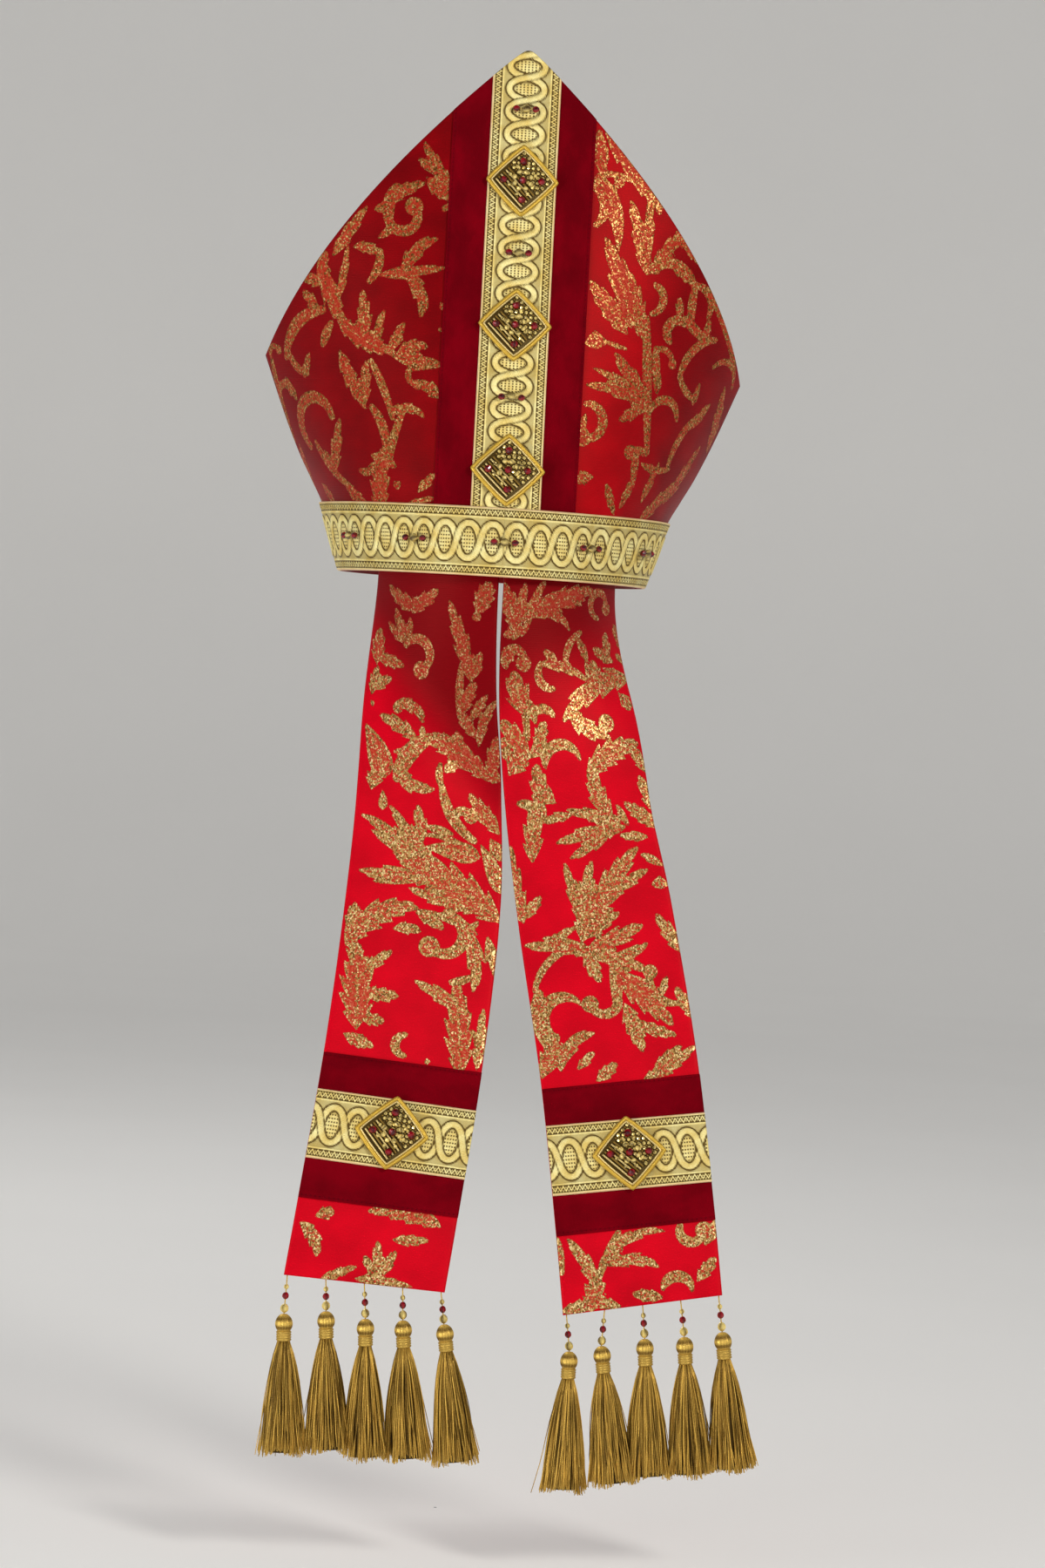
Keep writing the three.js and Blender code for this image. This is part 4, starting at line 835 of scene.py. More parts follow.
        (14, -87, 23, -81, 60, "curl", 2.8, 0, 0.1), (36, -64, 42, -73, -20, "leaf", 4.6, 2, 0.4),
        (-30, -77, -37, -53, 0, "leaf", 8, 2, 0.5), (-30, -65, -28, -91, 0, "stem", 2, 0, 0.5),
        (-23, -82, -26, -69, 0, "leaf", 2.6, 2, 0.3), (-24, -77, -12, -77, -120, "stem", 2.6, 0, 0.3),
        (-28, -101, -44, -81, 0, "leaf", 7, 3, 0.8), (-23, -96, -17, -81, 0, "leaf", 4.6, 3, 0.3),
        (-18, -107, 4, -103, -175, "leaf", 4.8, 0, 0.3), (-41, -110, -29, -96, 0, "leaf", 7, 4, 0.5),
        (-27, -101, -17, -93, 0, "leaf", 4, 2, 0.5), (9, -112, 43, -92, -50, "leaf", 8, 5, 0.5),
        (45, -110, 38, -92, 0, "leaf", 3.8, 3, 0.4), (-43, -102, -42, -91, 0, "leaf", 4, 2, 0.4),
        (-25, -405, -39, -378, 20, "leaf", 4, 2, 0.4), (-24, -403, -10, -377, -14, "stem", 2, 0, 0.6),
        (-21, -395, 16, -379, -70, "leaf", 3.4, 3, 0.6), (-17, -395, 11, -399, -60, "leaf", 3.8, 3, 0.5),
        (-29, -419, -24, -399, 0, "leaf", 6.5, 3, 0.5), (-45, -417, -27, -413, 20, "leaf", 4, 3, 0.3),
        (-13, -418, -29, -411, -20, "leaf", 3.6, 3, 0.3),
        (12, -412, 28, -415, -175, "leaf", 4.6, 0, 0.2), (11, -416, -5, -412, 0, "leaf", 3.8, 3, 0.2),
        (32, -409, 43, -397, 0, "leaf", 4, 3, 0.2), (25, -377, 38, -381, 200, "curl", 2.6, 0, 0.3),
        (38, -389, 49, -374, 0, "leaf", 3.8, 2, 0.5), (-45, -378, -44, -396, 0, "stem", 2.6, 0, 0.5),
    ],
}
print("strokes", {k: len(v) for k, v in CHART.items()})

# %% [markdown]
# ## Brocade
# Satin floats make the ground smooth and lustrous, so its roughness is low and very fine level
# ribs show in grazing light. The gold thread is a flat foil wound on silk: from near it is a
# speckle of bright, brown and red grains. It stands a little proud of the satin. The crown's
# ground is painted a lighter red in a broad band on its right side, a painted highlight of the
# satin's sheen. The tails are painted darker at the top, under the rim, and along a slanting line,
# with their gold darker and redder there, as painted shade; further down their ground is painted
# brighter, a painted sheen.

# %% The brocade's finish
def brocade_finish(name, ground_light, ground_deep, redness, gleam, ruddy, painted_shade_span=None):
    """Two reds of the ground, how much red is in the gold, its bright and its ruddy colour, and
    for a tail the slant of its painted shade and the heights where that starts to fade and ends."""
    finish = Finish(name, Sheen_Weight=0.05, Sheen_Roughness=0.4, Specular_IOR_Level=0.28,
                    Specular_Tint=(1.0, 0.16, 0.12, 1.0), Sheen_Tint=(1.0, 0.1, 0.1, 1.0))
    cloth = finish.vector("cloth")
    depth, tone = finish.value("depth"), finish.value("tone")
    ragged = (cloth * (1.0, 1.6, 1.0)).noise(1.5, 1.0) - 0.5
    gold = (depth + ragged * 1.5 + 0.4).ramp(-0.12, 0.25)
    grain = (cloth * (1.35, 0.85, 1.0)).cells(1.25)
    other = (cloth * (0.9, 1.15, 1.0) + 31.7).cells(1.15)
    drift = cloth.noise(0.035, 2.0)
    mottle = cloth.noise(1.3, 2.0, 0.7)
    mottle_and_painted_shade = (drift * 0.7 + mottle * 0.5).ramp(0.35, 0.85)
    if painted_shade_span is None:
        # painted highlight: the crown's ground is painted a lighter red in a broad band on its right side,
        # standing for the satin's sheen there
        satin = cloth.part(0).ramp(25, 45) * cloth.part(0).ramp(112, 62) * (0.6 + drift * 0.5)
        ground_light = (satin * 0.9).mix(ground_light, (0.46, 0.0, 0.005))
        ground_deep = (satin * 0.9).mix(ground_deep, (0.34, 0.0, 0.004))
    else:
        # painted shade: a tail's ground is painted darker, and its gold redder, above a slanting line near
        # the top, standing for shade under the rim and in a crease
        slant, start, end = painted_shade_span
        fall = cloth.part(1) + cloth.part(0) * slant
        mottle_and_painted_shade = (mottle_and_painted_shade * 0.4 + 0.6) * fall.ramp(start, end)
        redness = fall.ramp(end, start, 0.1, redness)
    ground = mottle_and_painted_shade.mix(ground_deep, ground_light)
    dark = tuple(np.multiply(gleam, (0.14, 0.08, 0.04)))
    middle = tuple(np.multiply(gleam, (0.5, 0.38, 0.24)))
    khaki = grain.ramp(0.05, 0.6).mix(dark, middle)
    bright = grain.ramp(0.66, 1.0).mix(khaki, gleam)
    red_share = (tone * 0.8 + redness - other).ramp(-0.08, 0.08)
    thread = (red_share * 0.85).mix(bright, ruddy)
    # painted shade on the gold thread in the same upper part of a tail
    if painted_shade_span:
        thread = fall.ramp(end, start, 0.0, 0.45).mix(thread, np.multiply(ruddy, 0.3))
    finish.set("Base Color", gold.mix(ground, thread))
    finish.set("Metallic", gold * (1.0 - red_share) * 0.35)
    finish.set("Roughness", 0.42 - gold * grain * 0.12 + drift * 0.08)
    rib = cloth.part(1).wave(1.1) * 0.5
    finish.bump(gold * (0.8 + grain * 0.9) + rib * (1.0 - gold) * 0.18, 0.22)
    return finish.material


# The crown's copy of the brocade: its ground, gold and red thread are painted darker than the tails', as
# painted shade.
BROCADE = brocade_finish("red brocade", (0.24, 0.0, 0.003), (0.125, 0.0, 0.002), 0.34,
                         (0.60, 0.38, 0.15), (0.40, 0.014, 0.010))
print("brocade ready")

# %% [markdown]
# ## The two shields
# Each shield is one stiff wall with its brocade outside. The grid is coarse under the middle
# trims, where nothing shows, and about 1.3 mm in the outer panels, which carry the pattern.

# %% Shields
MIDDLE_STEPS, OUTER_STEPS, LOW_STEPS, HIGH_STEPS = 16, 88, 10, 160
INSIDE_ROWS, INSIDE_COLUMNS = 10, 8


def make_brocade(name, node, outer, inner, flat, pattern, coarse, material):
    """A skin of brocade from its two grids and its flat places; the inside is plain satin."""
    depth, tone = pattern
    plain = np.full(inner.shape[:2], -FAR_DEPTH)
    values = {"cloth": (flat, flat[coarse]), "depth": (depth, plain), "tone": (tone, plain * 0)}
    return make_skin(name, node, outer, inner, values, material)


def make_shield(name, node, front):
    places = shield_places(shield_columns(MIDDLE_STEPS, OUTER_STEPS), LOW_STEPS, HIGH_STEPS)
    coarse = every(INSIDE_ROWS, INSIDE_COLUMNS)
    outer = on_crown(places, 0.0, front)
    inner = on_crown([p[coarse] for p in places], -SHIELD_WALL, front)
    flat = flat_place(*places[:2])
    mirror = -1 if front else 1
    pattern = weave_pattern(flat[..., :2] * (mirror, 1), CHART["left_panel"] + CHART["right_panel"])
    piece = make_brocade(name, node, outer, inner, flat, pattern, coarse, BROCADE)
    print(name, triangles(piece), "triangles")


make_shield("back_brocade", "back_shield", False)
make_shield("front_brocade", "front_shield", True)

# %% [markdown]
# ## Velvet
# Velvet is a dense pile that looks dark where it faces the eye and lighter at a grazing angle,
# which the sheen gives. Brushed patches lean another way and read as soft clouds. Its long
# edges are turned under and stitched, so the strip is a little full just inside each edge.

# %% The velvet's finish
def velvet_finish():
    finish = Finish("dark red velvet", Roughness=0.92, Sheen_Weight=0.9, Sheen_Roughness=0.38,
                    Sheen_Tint=(0.85, 0.01, 0.02, 1.0), Specular_IOR_Level=0.03)
    cloth = finish.vector("cloth")
    cloud = (cloth * (1.0, 0.55, 1.0)).noise(0.05, 3.0, 0.55).ramp(0.35, 0.68)
    pile = cloth.noise(2.4, 1.0)
    edge = finish.value("edge")
    stitch = cloth.part(1).wave(2.6).ramp(0.2, 0.8) * edge
    tint = (cloud * 0.75 + pile * 0.25).mix((0.11, 0.0, 0.003), (0.195, 0.0, 0.005))
    finish.set("Base Color", (stitch * 0.6).mix(tint, (0.05, 0.001, 0.005)))
    finish.bump(pile * 0.6 - edge * 0.9 - stitch * 0.6, 0.25)
    return finish.material


VELVET = velvet_finish()
CROWN_VELVET_ROWS, VELVET_COARSE = 145, 6
FROM_EDGE = np.array([0, 0.35, 0.8, 1.15, 1.5, 1.85, 2.4, 3.2, 4.2, 5.6, 7.5, 10.5, 14, 18, 21])
crown_velvet_marks = np.concatenate([FROM_EDGE - VELVET_HALF, [-18, -14, -10, 0, 10, 14, 18],
                                     VELVET_HALF - FROM_EDGE[::-1]])


def turned_edge(across, half):
    """The fullness of a turned-under edge: nothing at the edge, most 2.5 mm inside it, and a
    shallow stitched line between."""
    inside = half - np.abs(across)
    full = 0.25 * np.exp(-((inside - 3.2) / 1.6)**2)
    droop = -0.55 * np.exp(-inside / 0.5)
    line = np.exp(-((inside - 1.5) / 0.35)**2)
    return full + droop - 0.12 * line, line


def crown_strip_places(arcs, rows):
    """Places of a strip along a shield's middle, from just above the rim to the free edge."""
    top = edge_height(np.abs(arcs))
    height = lerp(1.0, top[None, :], np.linspace(0, 1, rows)[:, None])
    return np.broadcast_to(arcs, height.shape), height, np.zeros(height.shape, bool)


def make_velvet(name, node, outer, inner, flat, line):
    """A velvet strip from its two grids, its flat places and where its stitches lie."""
    coarse = every(VELVET_COARSE)
    edge = np.broadcast_to(line, outer.shape[:2])
    values = {"cloth": (flat, flat[coarse]), "edge": (edge, edge[coarse])}
    return make_skin(name, node, outer, inner, values, VELVET)


def make_crown_velvet(front):
    shield = "front" if front else "back"
    places = crown_strip_places(crown_velvet_marks, CROWN_VELVET_ROWS)
    lift, line = turned_edge(crown_velvet_marks, VELVET_HALF)
    outer = on_crown(places, VELVET_OFFSET[1] + lift, front)
    inner = on_crown([p[every(VELVET_COARSE)] for p in places], VELVET_OFFSET[0], front)
    return make_velvet(shield + "_velvet_strip", shield + "_velvet", outer, inner,
                       flat_place(*places[:2]), line)


crown_velvets = [make_crown_velvet(front) for front in (False, True)]
print("velvet", [triangles(v) for v in crown_velvets])

# %% [markdown]
# ## Galloon
# Galloon is a woven braid. Two strands cross over and under each other all along it and leave
# oval eyes between them, and a zigzag band with fine ridges runs along each border. The
# strands and the eyes are real relief, worked out once for one repeat of the braid from the
# distance to each strand's middle line. Zigzag, dots and weave are finer than the grid, so the
# finish draws them from the same two coordinates: across the braid and along it. The finish
# also darkens the low places of the relief and the strands' edges, as painted shade.

# %% Relief of the braid
PITCH, SWING, STRAND_HALF = 13.4, 10.2, 2.3
TILE_STEP, TILE_PHASES = 0.2, 640
BRAID_COLUMNS, CROWN_BRAID_ROWS, TAIL_BRAID_COLUMNS, BRAID_COARSE = 61, 427, 127, 6
BRAID_BASE = (GALLOON_OFFSET[0], GALLOON_OFFSET[1] - 0.4)
REPEAT_START = 104.25


def strand_tile():
    """Distance to one strand and its phase, over one repeat of two pitches: the strand swings
    across as a sine of its phase, and moves along a little faster near the crests."""
    phase = np.linspace(-np.pi, 3 * np.pi, TILE_PHASES)
    along = PITCH / np.pi * (phase - 0.22 * np.sin(2 * phase))
    across = SWING * np.sin(phase)
    x, s = np.meshgrid(np.arange(-GALLOON_HALF, GALLOON_HALF + 0.01, TILE_STEP),
                       np.arange(0, 2 * PITCH, TILE_STEP), indexing="ij")
    gap = np.hypot(x[..., None] - across, s[..., None] - along)
    nearest = gap.argmin(-1)
    return gap.min(-1), phase[nearest]


TILE_GAP, TILE_PHASE = strand_tile()


def read_tile(x, s):
    """The tile's distance and phase at a place of the braid; it repeats along the braid."""
    i = np.clip(np.rint((x + GALLOON_HALF) / TILE_STEP), 0, TILE_GAP.shape[0] - 1).astype(int)
    j = np.floor(np.mod(s, 2 * PITCH) / TILE_STEP).astype(int) % TILE_GAP.shape[1]
    return TILE_GAP[i, j], TILE_PHASE[i, j]


def braid_relief(x, s):
    """Height in millimetres over the ground of the braid, where an eye is, and a line along each
    strand's edge, sunk a little and painted dark by the finish as painted shade. A strand is a
    dome across its width, higher where it crosses over; an eye is an oval dome."""
    gap, phase = read_tile(x, s)
    gap_back, phase_back = read_tile(-x, s)
    dome = np.sqrt(np.clip(1 - (gap / STRAND_HALF)**2, 0, 1))
    dome_back = np.sqrt(np.clip(1 - (gap_back / STRAND_HALF)**2, 0, 1))
    over = dome * (0.62 + 0.2 * np.cos(phase))
    under = dome_back * (0.62 - 0.2 * np.cos(phase_back))
    eye_at = (np.floor(s / PITCH) + 0.5) * PITCH
    oval = np.hypot((s - eye_at) / 3.9, x / 7.3)
    eye = np.clip(1 - oval**2, 0, 1)
    size = np.abs(x)
    ridge = 0.3 * np.exp(-((size - 13.9) / 0.5)**2) + 0.22 * np.exp(-((size - 19.2) / 0.45)**2)
    zigzag = np.abs(np.mod(s / 3.1, 1) - 0.5) * 2
    zig = 0.22 * np.exp(-((size - 15.2 - 2.6 * zigzag) / 0.5)**2) * (size > 14.4)
    rounded = -0.5 * np.exp(-(GALLOON_HALF - size) / 0.35)
    # a line along each strand's edge where it meets the other strand: a shallow real groove, which the finish
    # also paints dark as painted shade
    mark, marked = (np.exp(-((g - STRAND_HALF + 0.25) / 0.42)**2) for g in (gap, gap_back))
    first = np.cos(phase) > 0
    line = np.maximum(mark * (first | (gap_back > STRAND_HALF)),
                      marked * (~first | (gap > STRAND_HALF))) * (size < 13.4)
    height = np.maximum(np.maximum(over, under), 0.42 * np.sqrt(eye)) + ridge + zig + rounded
    return height - 0.2 * line, eye, line


def braid_finish():
    finish = Finish("woven gold galloon", Specular_IOR_Level=0.35, Specular_Tint=(1.0, 0.85, 0.5, 1.0))
    cloth = finish.vector("cloth")
    high, eye, outline = finish.value("high"), finish.value("eye"), finish.value("line")
    across, along = cloth.part(0), cloth.part(1)
    size = across.math("ABSOLUTE")
    border = size.ramp(14.3, 14.7) * size.ramp(18.9, 18.5)
    zigzag = ((along / 3.1).math("FRACT") - 0.5).math("ABSOLUTE") * 2.0
    line = (size - zigzag * 2.6 - 15.2).math("ABSOLUTE").ramp(0.85, 0.4)
    second = (size + zigzag * 2.6 - 18.2).math("ABSOLUTE").ramp(0.6, 0.3)
    pits = border * (1.0 - line.math("MAXIMUM", second * 0.6))
    dots = across.wave(2.1).ramp(0.0, 0.5) * along.wave(1.5).ramp(-0.6, 0.2) * eye.ramp(0.05, 0.2)
    # painted shade: low places of the relief are painted darker
    painted_hollow_shade = high.ramp(0.3, 0.02) * size.ramp(14.0, 13.5)
    weft = (cloth * (3.4, 0.9, 1.0)).noise(1.0, 2.0, 0.7)
    twist = (along * 0.9 + across * 1.6).wave(1.9) * 0.5 + 0.5
    patch = cloth.noise(0.09, 2.0)
    pale = (patch * 0.6 + weft * 0.5).ramp(0.35, 0.8).mix((0.74, 0.53, 0.13), (1.0, 0.93, 0.46))
    # dark woven dots and the parts between the zigzag lines, with painted shade in the low places and along
    # the strands' edges
    shade = (painted_hollow_shade * 0.45 + pits * 0.95 + dots * 0.8 + outline * 0.85).ramp(0.0, 1.0)
    body = shade.mix(pale, (0.10, 0.055, 0.008))
    selvedge = size.ramp(18.9, 19.3)
    finish.set("Base Color", (selvedge * 0.6).mix(body, (0.78, 0.50, 0.32)))
    finish.set("Metallic", 0.25 - shade * 0.15 - selvedge * 0.1)
    finish.set("Roughness", 0.36 + weft * 0.16)
    finish.bump(weft * 0.6 + twist * 0.4 * high - shade * 0.9, 0.45)
    return finish.material


GALLOON = braid_finish()


def make_braid(name, node, place, x, s, base=BRAID_BASE, coarse=BRAID_COARSE, ring=False):
    """A braid from a rule that gives its points: place(x, s, lift), in millimetres across the
    braid, along it and out from its base. x and s are grids; the inner face is coarser."""
    relief, eye, line = braid_relief(x, s)
    outer = place(*every(1), base[1] + relief)
    inner = place(*every(coarse), base[0])
    values = {"cloth": flat_place(x, s), "high": relief, "eye": eye, "line": line}
    values = {key: (value, value[every(coarse)]) for key, value in values.items()}
    piece = make_skin(name, node, outer, inner, values, GALLOON, ring)
    print(name, triangles(piece), "triangles")
    return piece


def make_crown_braid(front):
    shield = "front" if front else "back"
    places = crown_strip_places(np.linspace(-GALLOON_HALF, GALLOON_HALF, BRAID_COLUMNS), CROWN_BRAID_ROWS)
    place = lambda i, j, lift: on_crown([p[i, j] for p in places], lift, front)
    return make_braid(shield + "_braid", shield + "_galloon", place, places[0], places[1] - REPEAT_START)


for front in (False, True):
    make_crown_braid(front)

# %% [markdown]
# ## The head band
# The same galloon goes round the head over everything, so the band steps out where it crosses
# the velvet and the upright galloon. It is one closed ring; a whole number of repeats fits.

# %% Head band
BAND_ARC = float(seam_arc(BAND_HEIGHT / 2))
BAND_AROUND, BAND_ACROSS, BAND_COARSE, OUTER_COLUMNS = 840, 56, 8, 7
BAND_BASE = (0.0, BAND_THICKNESS - 0.45)
NEARLY = 1e-6


def band_offset(share, arc):
    """How far the band's inner face stands off the shield: high over the upright galloon,
    stepping down across the velvet and then to the brocade."""
    first = 1 / OUTER_COLUMNS
    beyond = lerp(GALLOON_OFFSET[0], CLEARANCE, np.clip(share / first, 0, 1))
    over_velvet = lerp(ORNAMENT_SEAT, GALLOON_OFFSET[0],
                       np.clip((arc - GALLOON_HALF) / (VELVET_HALF - GALLOON_HALF), 0, 1))
    return np.where(arc > VELVET_HALF, beyond, over_velvet)


def ring_point(around, height, lift):
    """A point of the ring by its distance round from the middle of the back at half the band's
    height; beyond the velvet, columns fan out evenly up to the side seam."""
    around, height, lift = np.broadcast_arrays(*(np.asarray(v, float) for v in (around, height, lift)))
    turned = np.mod(around + 2 * BAND_ARC, 4 * BAND_ARC) - 2 * BAND_ARC
    front = np.abs(turned) > BAND_ARC + NEARLY
    middle_arc = np.where(front, 2 * BAND_ARC - np.abs(turned), np.abs(turned))
    share = np.clip((middle_arc - VELVET_HALF) / (BAND_ARC - VELVET_HALF), 0, 1)
    arc = np.where(middle_arc > VELVET_HALF, lerp(VELVET_HALF, seam_arc(height), share), middle_arc)
    seam = share > 1 - NEARLY
    out = band_offset(share, middle_arc) + lift
    point = crown_point(arc * np.where(turned < 0, -1, 1), height, out, seam)
    point[..., 1] = np.where(seam, 0, point[..., 1]) * np.where(front, -1, 1)
    return point


def make_head_band():
    around = np.arange(BAND_AROUND) * 4 * BAND_ARC / BAND_AROUND
    x, s = np.meshgrid(np.linspace(-GALLOON_HALF, GALLOON_HALF, BAND_ACROSS + 1), around, indexing="ij")
    place = lambda i, j, lift: ring_point(s[i, j], x[i, j] + BAND_HEIGHT / 2, lift)
    repeats = round(4 * BAND_ARC / (2 * PITCH))
    scale = repeats * 2 * PITCH / (4 * BAND_ARC)
    make_braid("band_braid", "head_band", place, x, s * scale, BAND_BASE, BAND_COARSE, ring=True)


make_head_band()
print("band length", round(4 * BAND_ARC, 1), "mm")

# %% [markdown]
# ## The soft web
# Between the shields a plain cloth hangs from both free edges in a soft V. Its section is a
# smoothed corner, and small folds run down it, deepest midway.

# %% Web
WEB_THICKNESS, WEB_VALLEY_RISE, WEB_REACH, WEB_SOFTNESS, WEB_EDGE_DROP = 1.2, 14.0, 0.94, 0.16, 1.5
WEB_COLUMNS, WEB_ROWS, WEB_COARSE = 121, 65, 4
EDGE_X = crown_point(EDGE_ARC, EDGE_HEIGHT, 0.0)[..., 0]


def web_point(along, across, lift):
    """Along runs from corner to corner and across from the back shield to the front one. The
    height is a soft V between the valley and the free edge."""
    t = np.interp(np.abs(along) * CORNER_HALF[0], EDGE_X[::-1], EDGE_T[::-1])
    arc, height = edge_at(t)
    rim = crown_point(arc, height - WEB_EDGE_DROP, -SHIELD_WALL - CLEARANCE - WEB_THICKNESS / 2)
    valley = CORNER_HEIGHT + WEB_VALLEY_RISE * (1 - along * along)
    rise = lambda away: np.hypot(away, WEB_SOFTNESS) - WEB_SOFTNESS
    soft = rise(across) / rise(1.0)
    free = 1 - across**2
    fold = 1.1 * free * np.sin(along * 21 + 2 * np.sin(along * 5)) * (1 - along**4)
    x = np.sign(along) * rim[..., 0]
    return np.stack([x, -rim[..., 1] * across, lerp(valley, rim[..., 2], soft) + fold + lift], -1)


def web_finish():
    finish = Finish("red lining cloth", Roughness=0.6, Sheen_Weight=0.3, Sheen_Tint=(1.0, 0.3, 0.3, 1.0))
    place = finish.place
    weave = place.part(0).wave(0.9) * place.part(2).wave(0.9)
    tint = place.noise(0.04, 3.0).mix((0.26, 0.004, 0.012), (0.42, 0.008, 0.022))
    finish.set("Base Color", tint)
    finish.bump(weave * 0.5 + place.noise(1.7, 2.0), 0.12)
    return finish.material


LINING = web_finish()
along, across = np.meshgrid(np.linspace(-WEB_REACH, WEB_REACH, WEB_COLUMNS),
                            np.linspace(-1, 1, WEB_ROWS), indexing="ij")
web_outer = web_point(along, across, WEB_THICKNESS / 2)
web_inner = web_point(along[every(WEB_COARSE)], across[every(WEB_COARSE)], -WEB_THICKNESS / 2)
web = make_skin("soft_web", "crown_gusset", web_outer, web_inner, {}, LINING)


def grid_area(points):
    """Area of a grid of points, as the cross product of each cell's diagonals, halved."""
    a = points[1:, 1:] - points[:-1, :-1]
    b = points[1:, :-1] - points[:-1, 1:]
    return np.linalg.norm(np.cross(a, b), axis=-1).sum() / 2


web_area = grid_area(web_outer)
print("web area", round(web_area / 100), "square cm")

# %% [markdown]
# ## The tails
# Each tail is brocade over a lining, sewn as one flat strip and hung. Velvet and galloon cross it
# near the hem.

# %% Tails
TAIL_STEPS, TAIL_ROWS, TAIL_COARSE, TAIL_VELVET_STEPS = 80, 376, 8, 60
TAIL_SIGN = {"left": -1, "right": 1}


def tail_grid(side, down, across_steps, out):
    across = np.linspace(-1, 1, across_steps + 1)
    return tail_point(side, across[None, :], down[:, None], out)


def tail_cloth(side, down, across_steps):
    """Flat place on the cloth: millimetres across towards +X, and down as a negative height."""
    across = np.linspace(-1, 1, across_steps + 1) * TAIL_HEM_WIDTH / 2 * TAIL_SIGN[side]
    return flat_place(*np.meshgrid(across, -down))


def make_tail(side):
    """The strip with its long edges turned under, and its area."""
    down = np.linspace(-TAIL_SEWN_IN, TAIL_LENGTH[side], TAIL_ROWS + 1)
    edge = np.exp(-(1 - np.abs(np.linspace(-1, 1, TAIL_STEPS + 1))) * TAIL_HEM_WIDTH / 2 / 0.6)
    outer = tail_grid(side, down, TAIL_STEPS, -0.5 * edge[None, :])
    inner = tail_grid(side, down[::TAIL_COARSE], TAIL_STEPS // TAIL_COARSE, -TAIL_THICKNESS)
    flat = tail_cloth(side, down, TAIL_STEPS)
    pattern = weave_pattern(flat[..., :2], CHART[side + "_tail"])
    piece = make_brocade(side + "_tail", side + "_lappet", outer, inner, flat, pattern,
                         every(TAIL_COARSE), TAIL_BROCADE[side])
    area = grid_area(outer)
    print(side, "tail", triangles(piece), "triangles, area", round(area / 100), "square cm")
    return piece, area


# The tails' copy of the brocade: ground and gold painted brighter than the crown's, a painted sheen, with
# painted shade at the top of each tail.
TAIL_BROCADE = {
    side: brocade_finish(side + " bright red brocade", (0.66, 0.0, 0.012), (0.17, 0.0, 0.003), 0.36,
                         (0.94, 0.74, 0.36), (0.50, 0.018, 0.016), painted_shade_span)
    for side, painted_shade_span in (("left", (1.1, -52, -118)), ("right", (-0.4, -18, -80)))}
tails = {side: make_tail(side) for side in TAIL_LENGTH}


def trim_middle(side):
    return TAIL_LENGTH[side] - HEM_TO_VELVET - VELVET_HALF


def make_tail_velvet(side):
    rows = crown_velvet_marks + trim_middle(side)
    lift, line = turned_edge(crown_velvet_marks, VELVET_HALF)
    outer = tail_grid(side, rows, TAIL_VELVET_STEPS, VELVET_OFFSET[1] + lift[:, None])
    inner = tail_grid(side, rows[::VELVET_COARSE], TAIL_VELVET_STEPS // VELVET_COARSE, VELVET_OFFSET[0])
    flat = tail_cloth(side, rows, TAIL_VELVET_STEPS)[..., [1, 0, 2]]
    return make_velvet(side + "_tail_velvet", side + "_lappet_velvet", outer, inner, flat, line[:, None])


def make_tail_braid(side):
    s, x = np.meshgrid(np.linspace(-1, 1, TAIL_BRAID_COLUMNS),
                       np.linspace(-GALLOON_HALF, GALLOON_HALF, BRAID_COLUMNS))
    place = lambda i, j, lift: tail_point(side, s[i, j], x[i, j] + trim_middle(side), lift)
    return make_braid(side + "_tail_braid", side + "_lappet_galloon", place, x,
                      s * TAIL_SIGN[side] * TAIL_HEM_WIDTH / 2)


tail_velvets = {side: make_tail_velvet(side) for side in TAIL_LENGTH}
tail_braids = {side: make_tail_braid(side) for side in TAIL_LENGTH}

# %% [markdown]
# ## Small parts, joined
# A rhomb, a row of beads or a tassel is made of many small closed forms. Each form is a list of
# points and faces; joining them gives one mesh for each CAD node. Twisted cord is a tube whose
# radius has one lobe for each ply, turning as it runs along.

# %% Cords, beads and joining
def join_parts(name, parts, materials):
    """One piece from closed forms: each is points, groups of faces, a material's number,
    whether it is smooth, and a tint value for its points."""
    points, groups, slots, smooth, tint, start = [], [], [], [], [], 0
    for place, faces, slot, soft, shade in parts:
        if signed_volume(place, faces) < 0:
            faces = [g[:, ::-1] for g in faces]
        groups += [g + start for g in faces]
        slots += [slot] * len(faces)
        smooth += [soft] * len(faces)
        points.append(place)
        tint.append(np.broadcast_to(shade, len(place)))
        start += len(place)
    piece = write_mesh(name, np.concatenate(points), groups, smooth, materials, slots)
    set_value(piece.data, "tint", np.concatenate(tint).astype(float))
    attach(piece, "root")
    return piece


def tube_faces(rows, sides):
    """Faces of a closed round form: rings of quads, and a cap at each end."""
    caps = np.arange(sides)[None]
    return [grid_faces(rows, sides, 0, ring=True), caps, caps[:, ::-1] + (rows - 1) * sides]


def ring_points(middle, radius, first, second):
    """Rings of points round each middle, as radius times cosine and sine along two directions."""
    angle = np.arange(radius.shape[-1]) * 2 * np.pi / radius.shape[-1]
    return middle + radius[..., None] * (np.cos(angle)[:, None] * first + np.sin(angle)[:, None] * second)


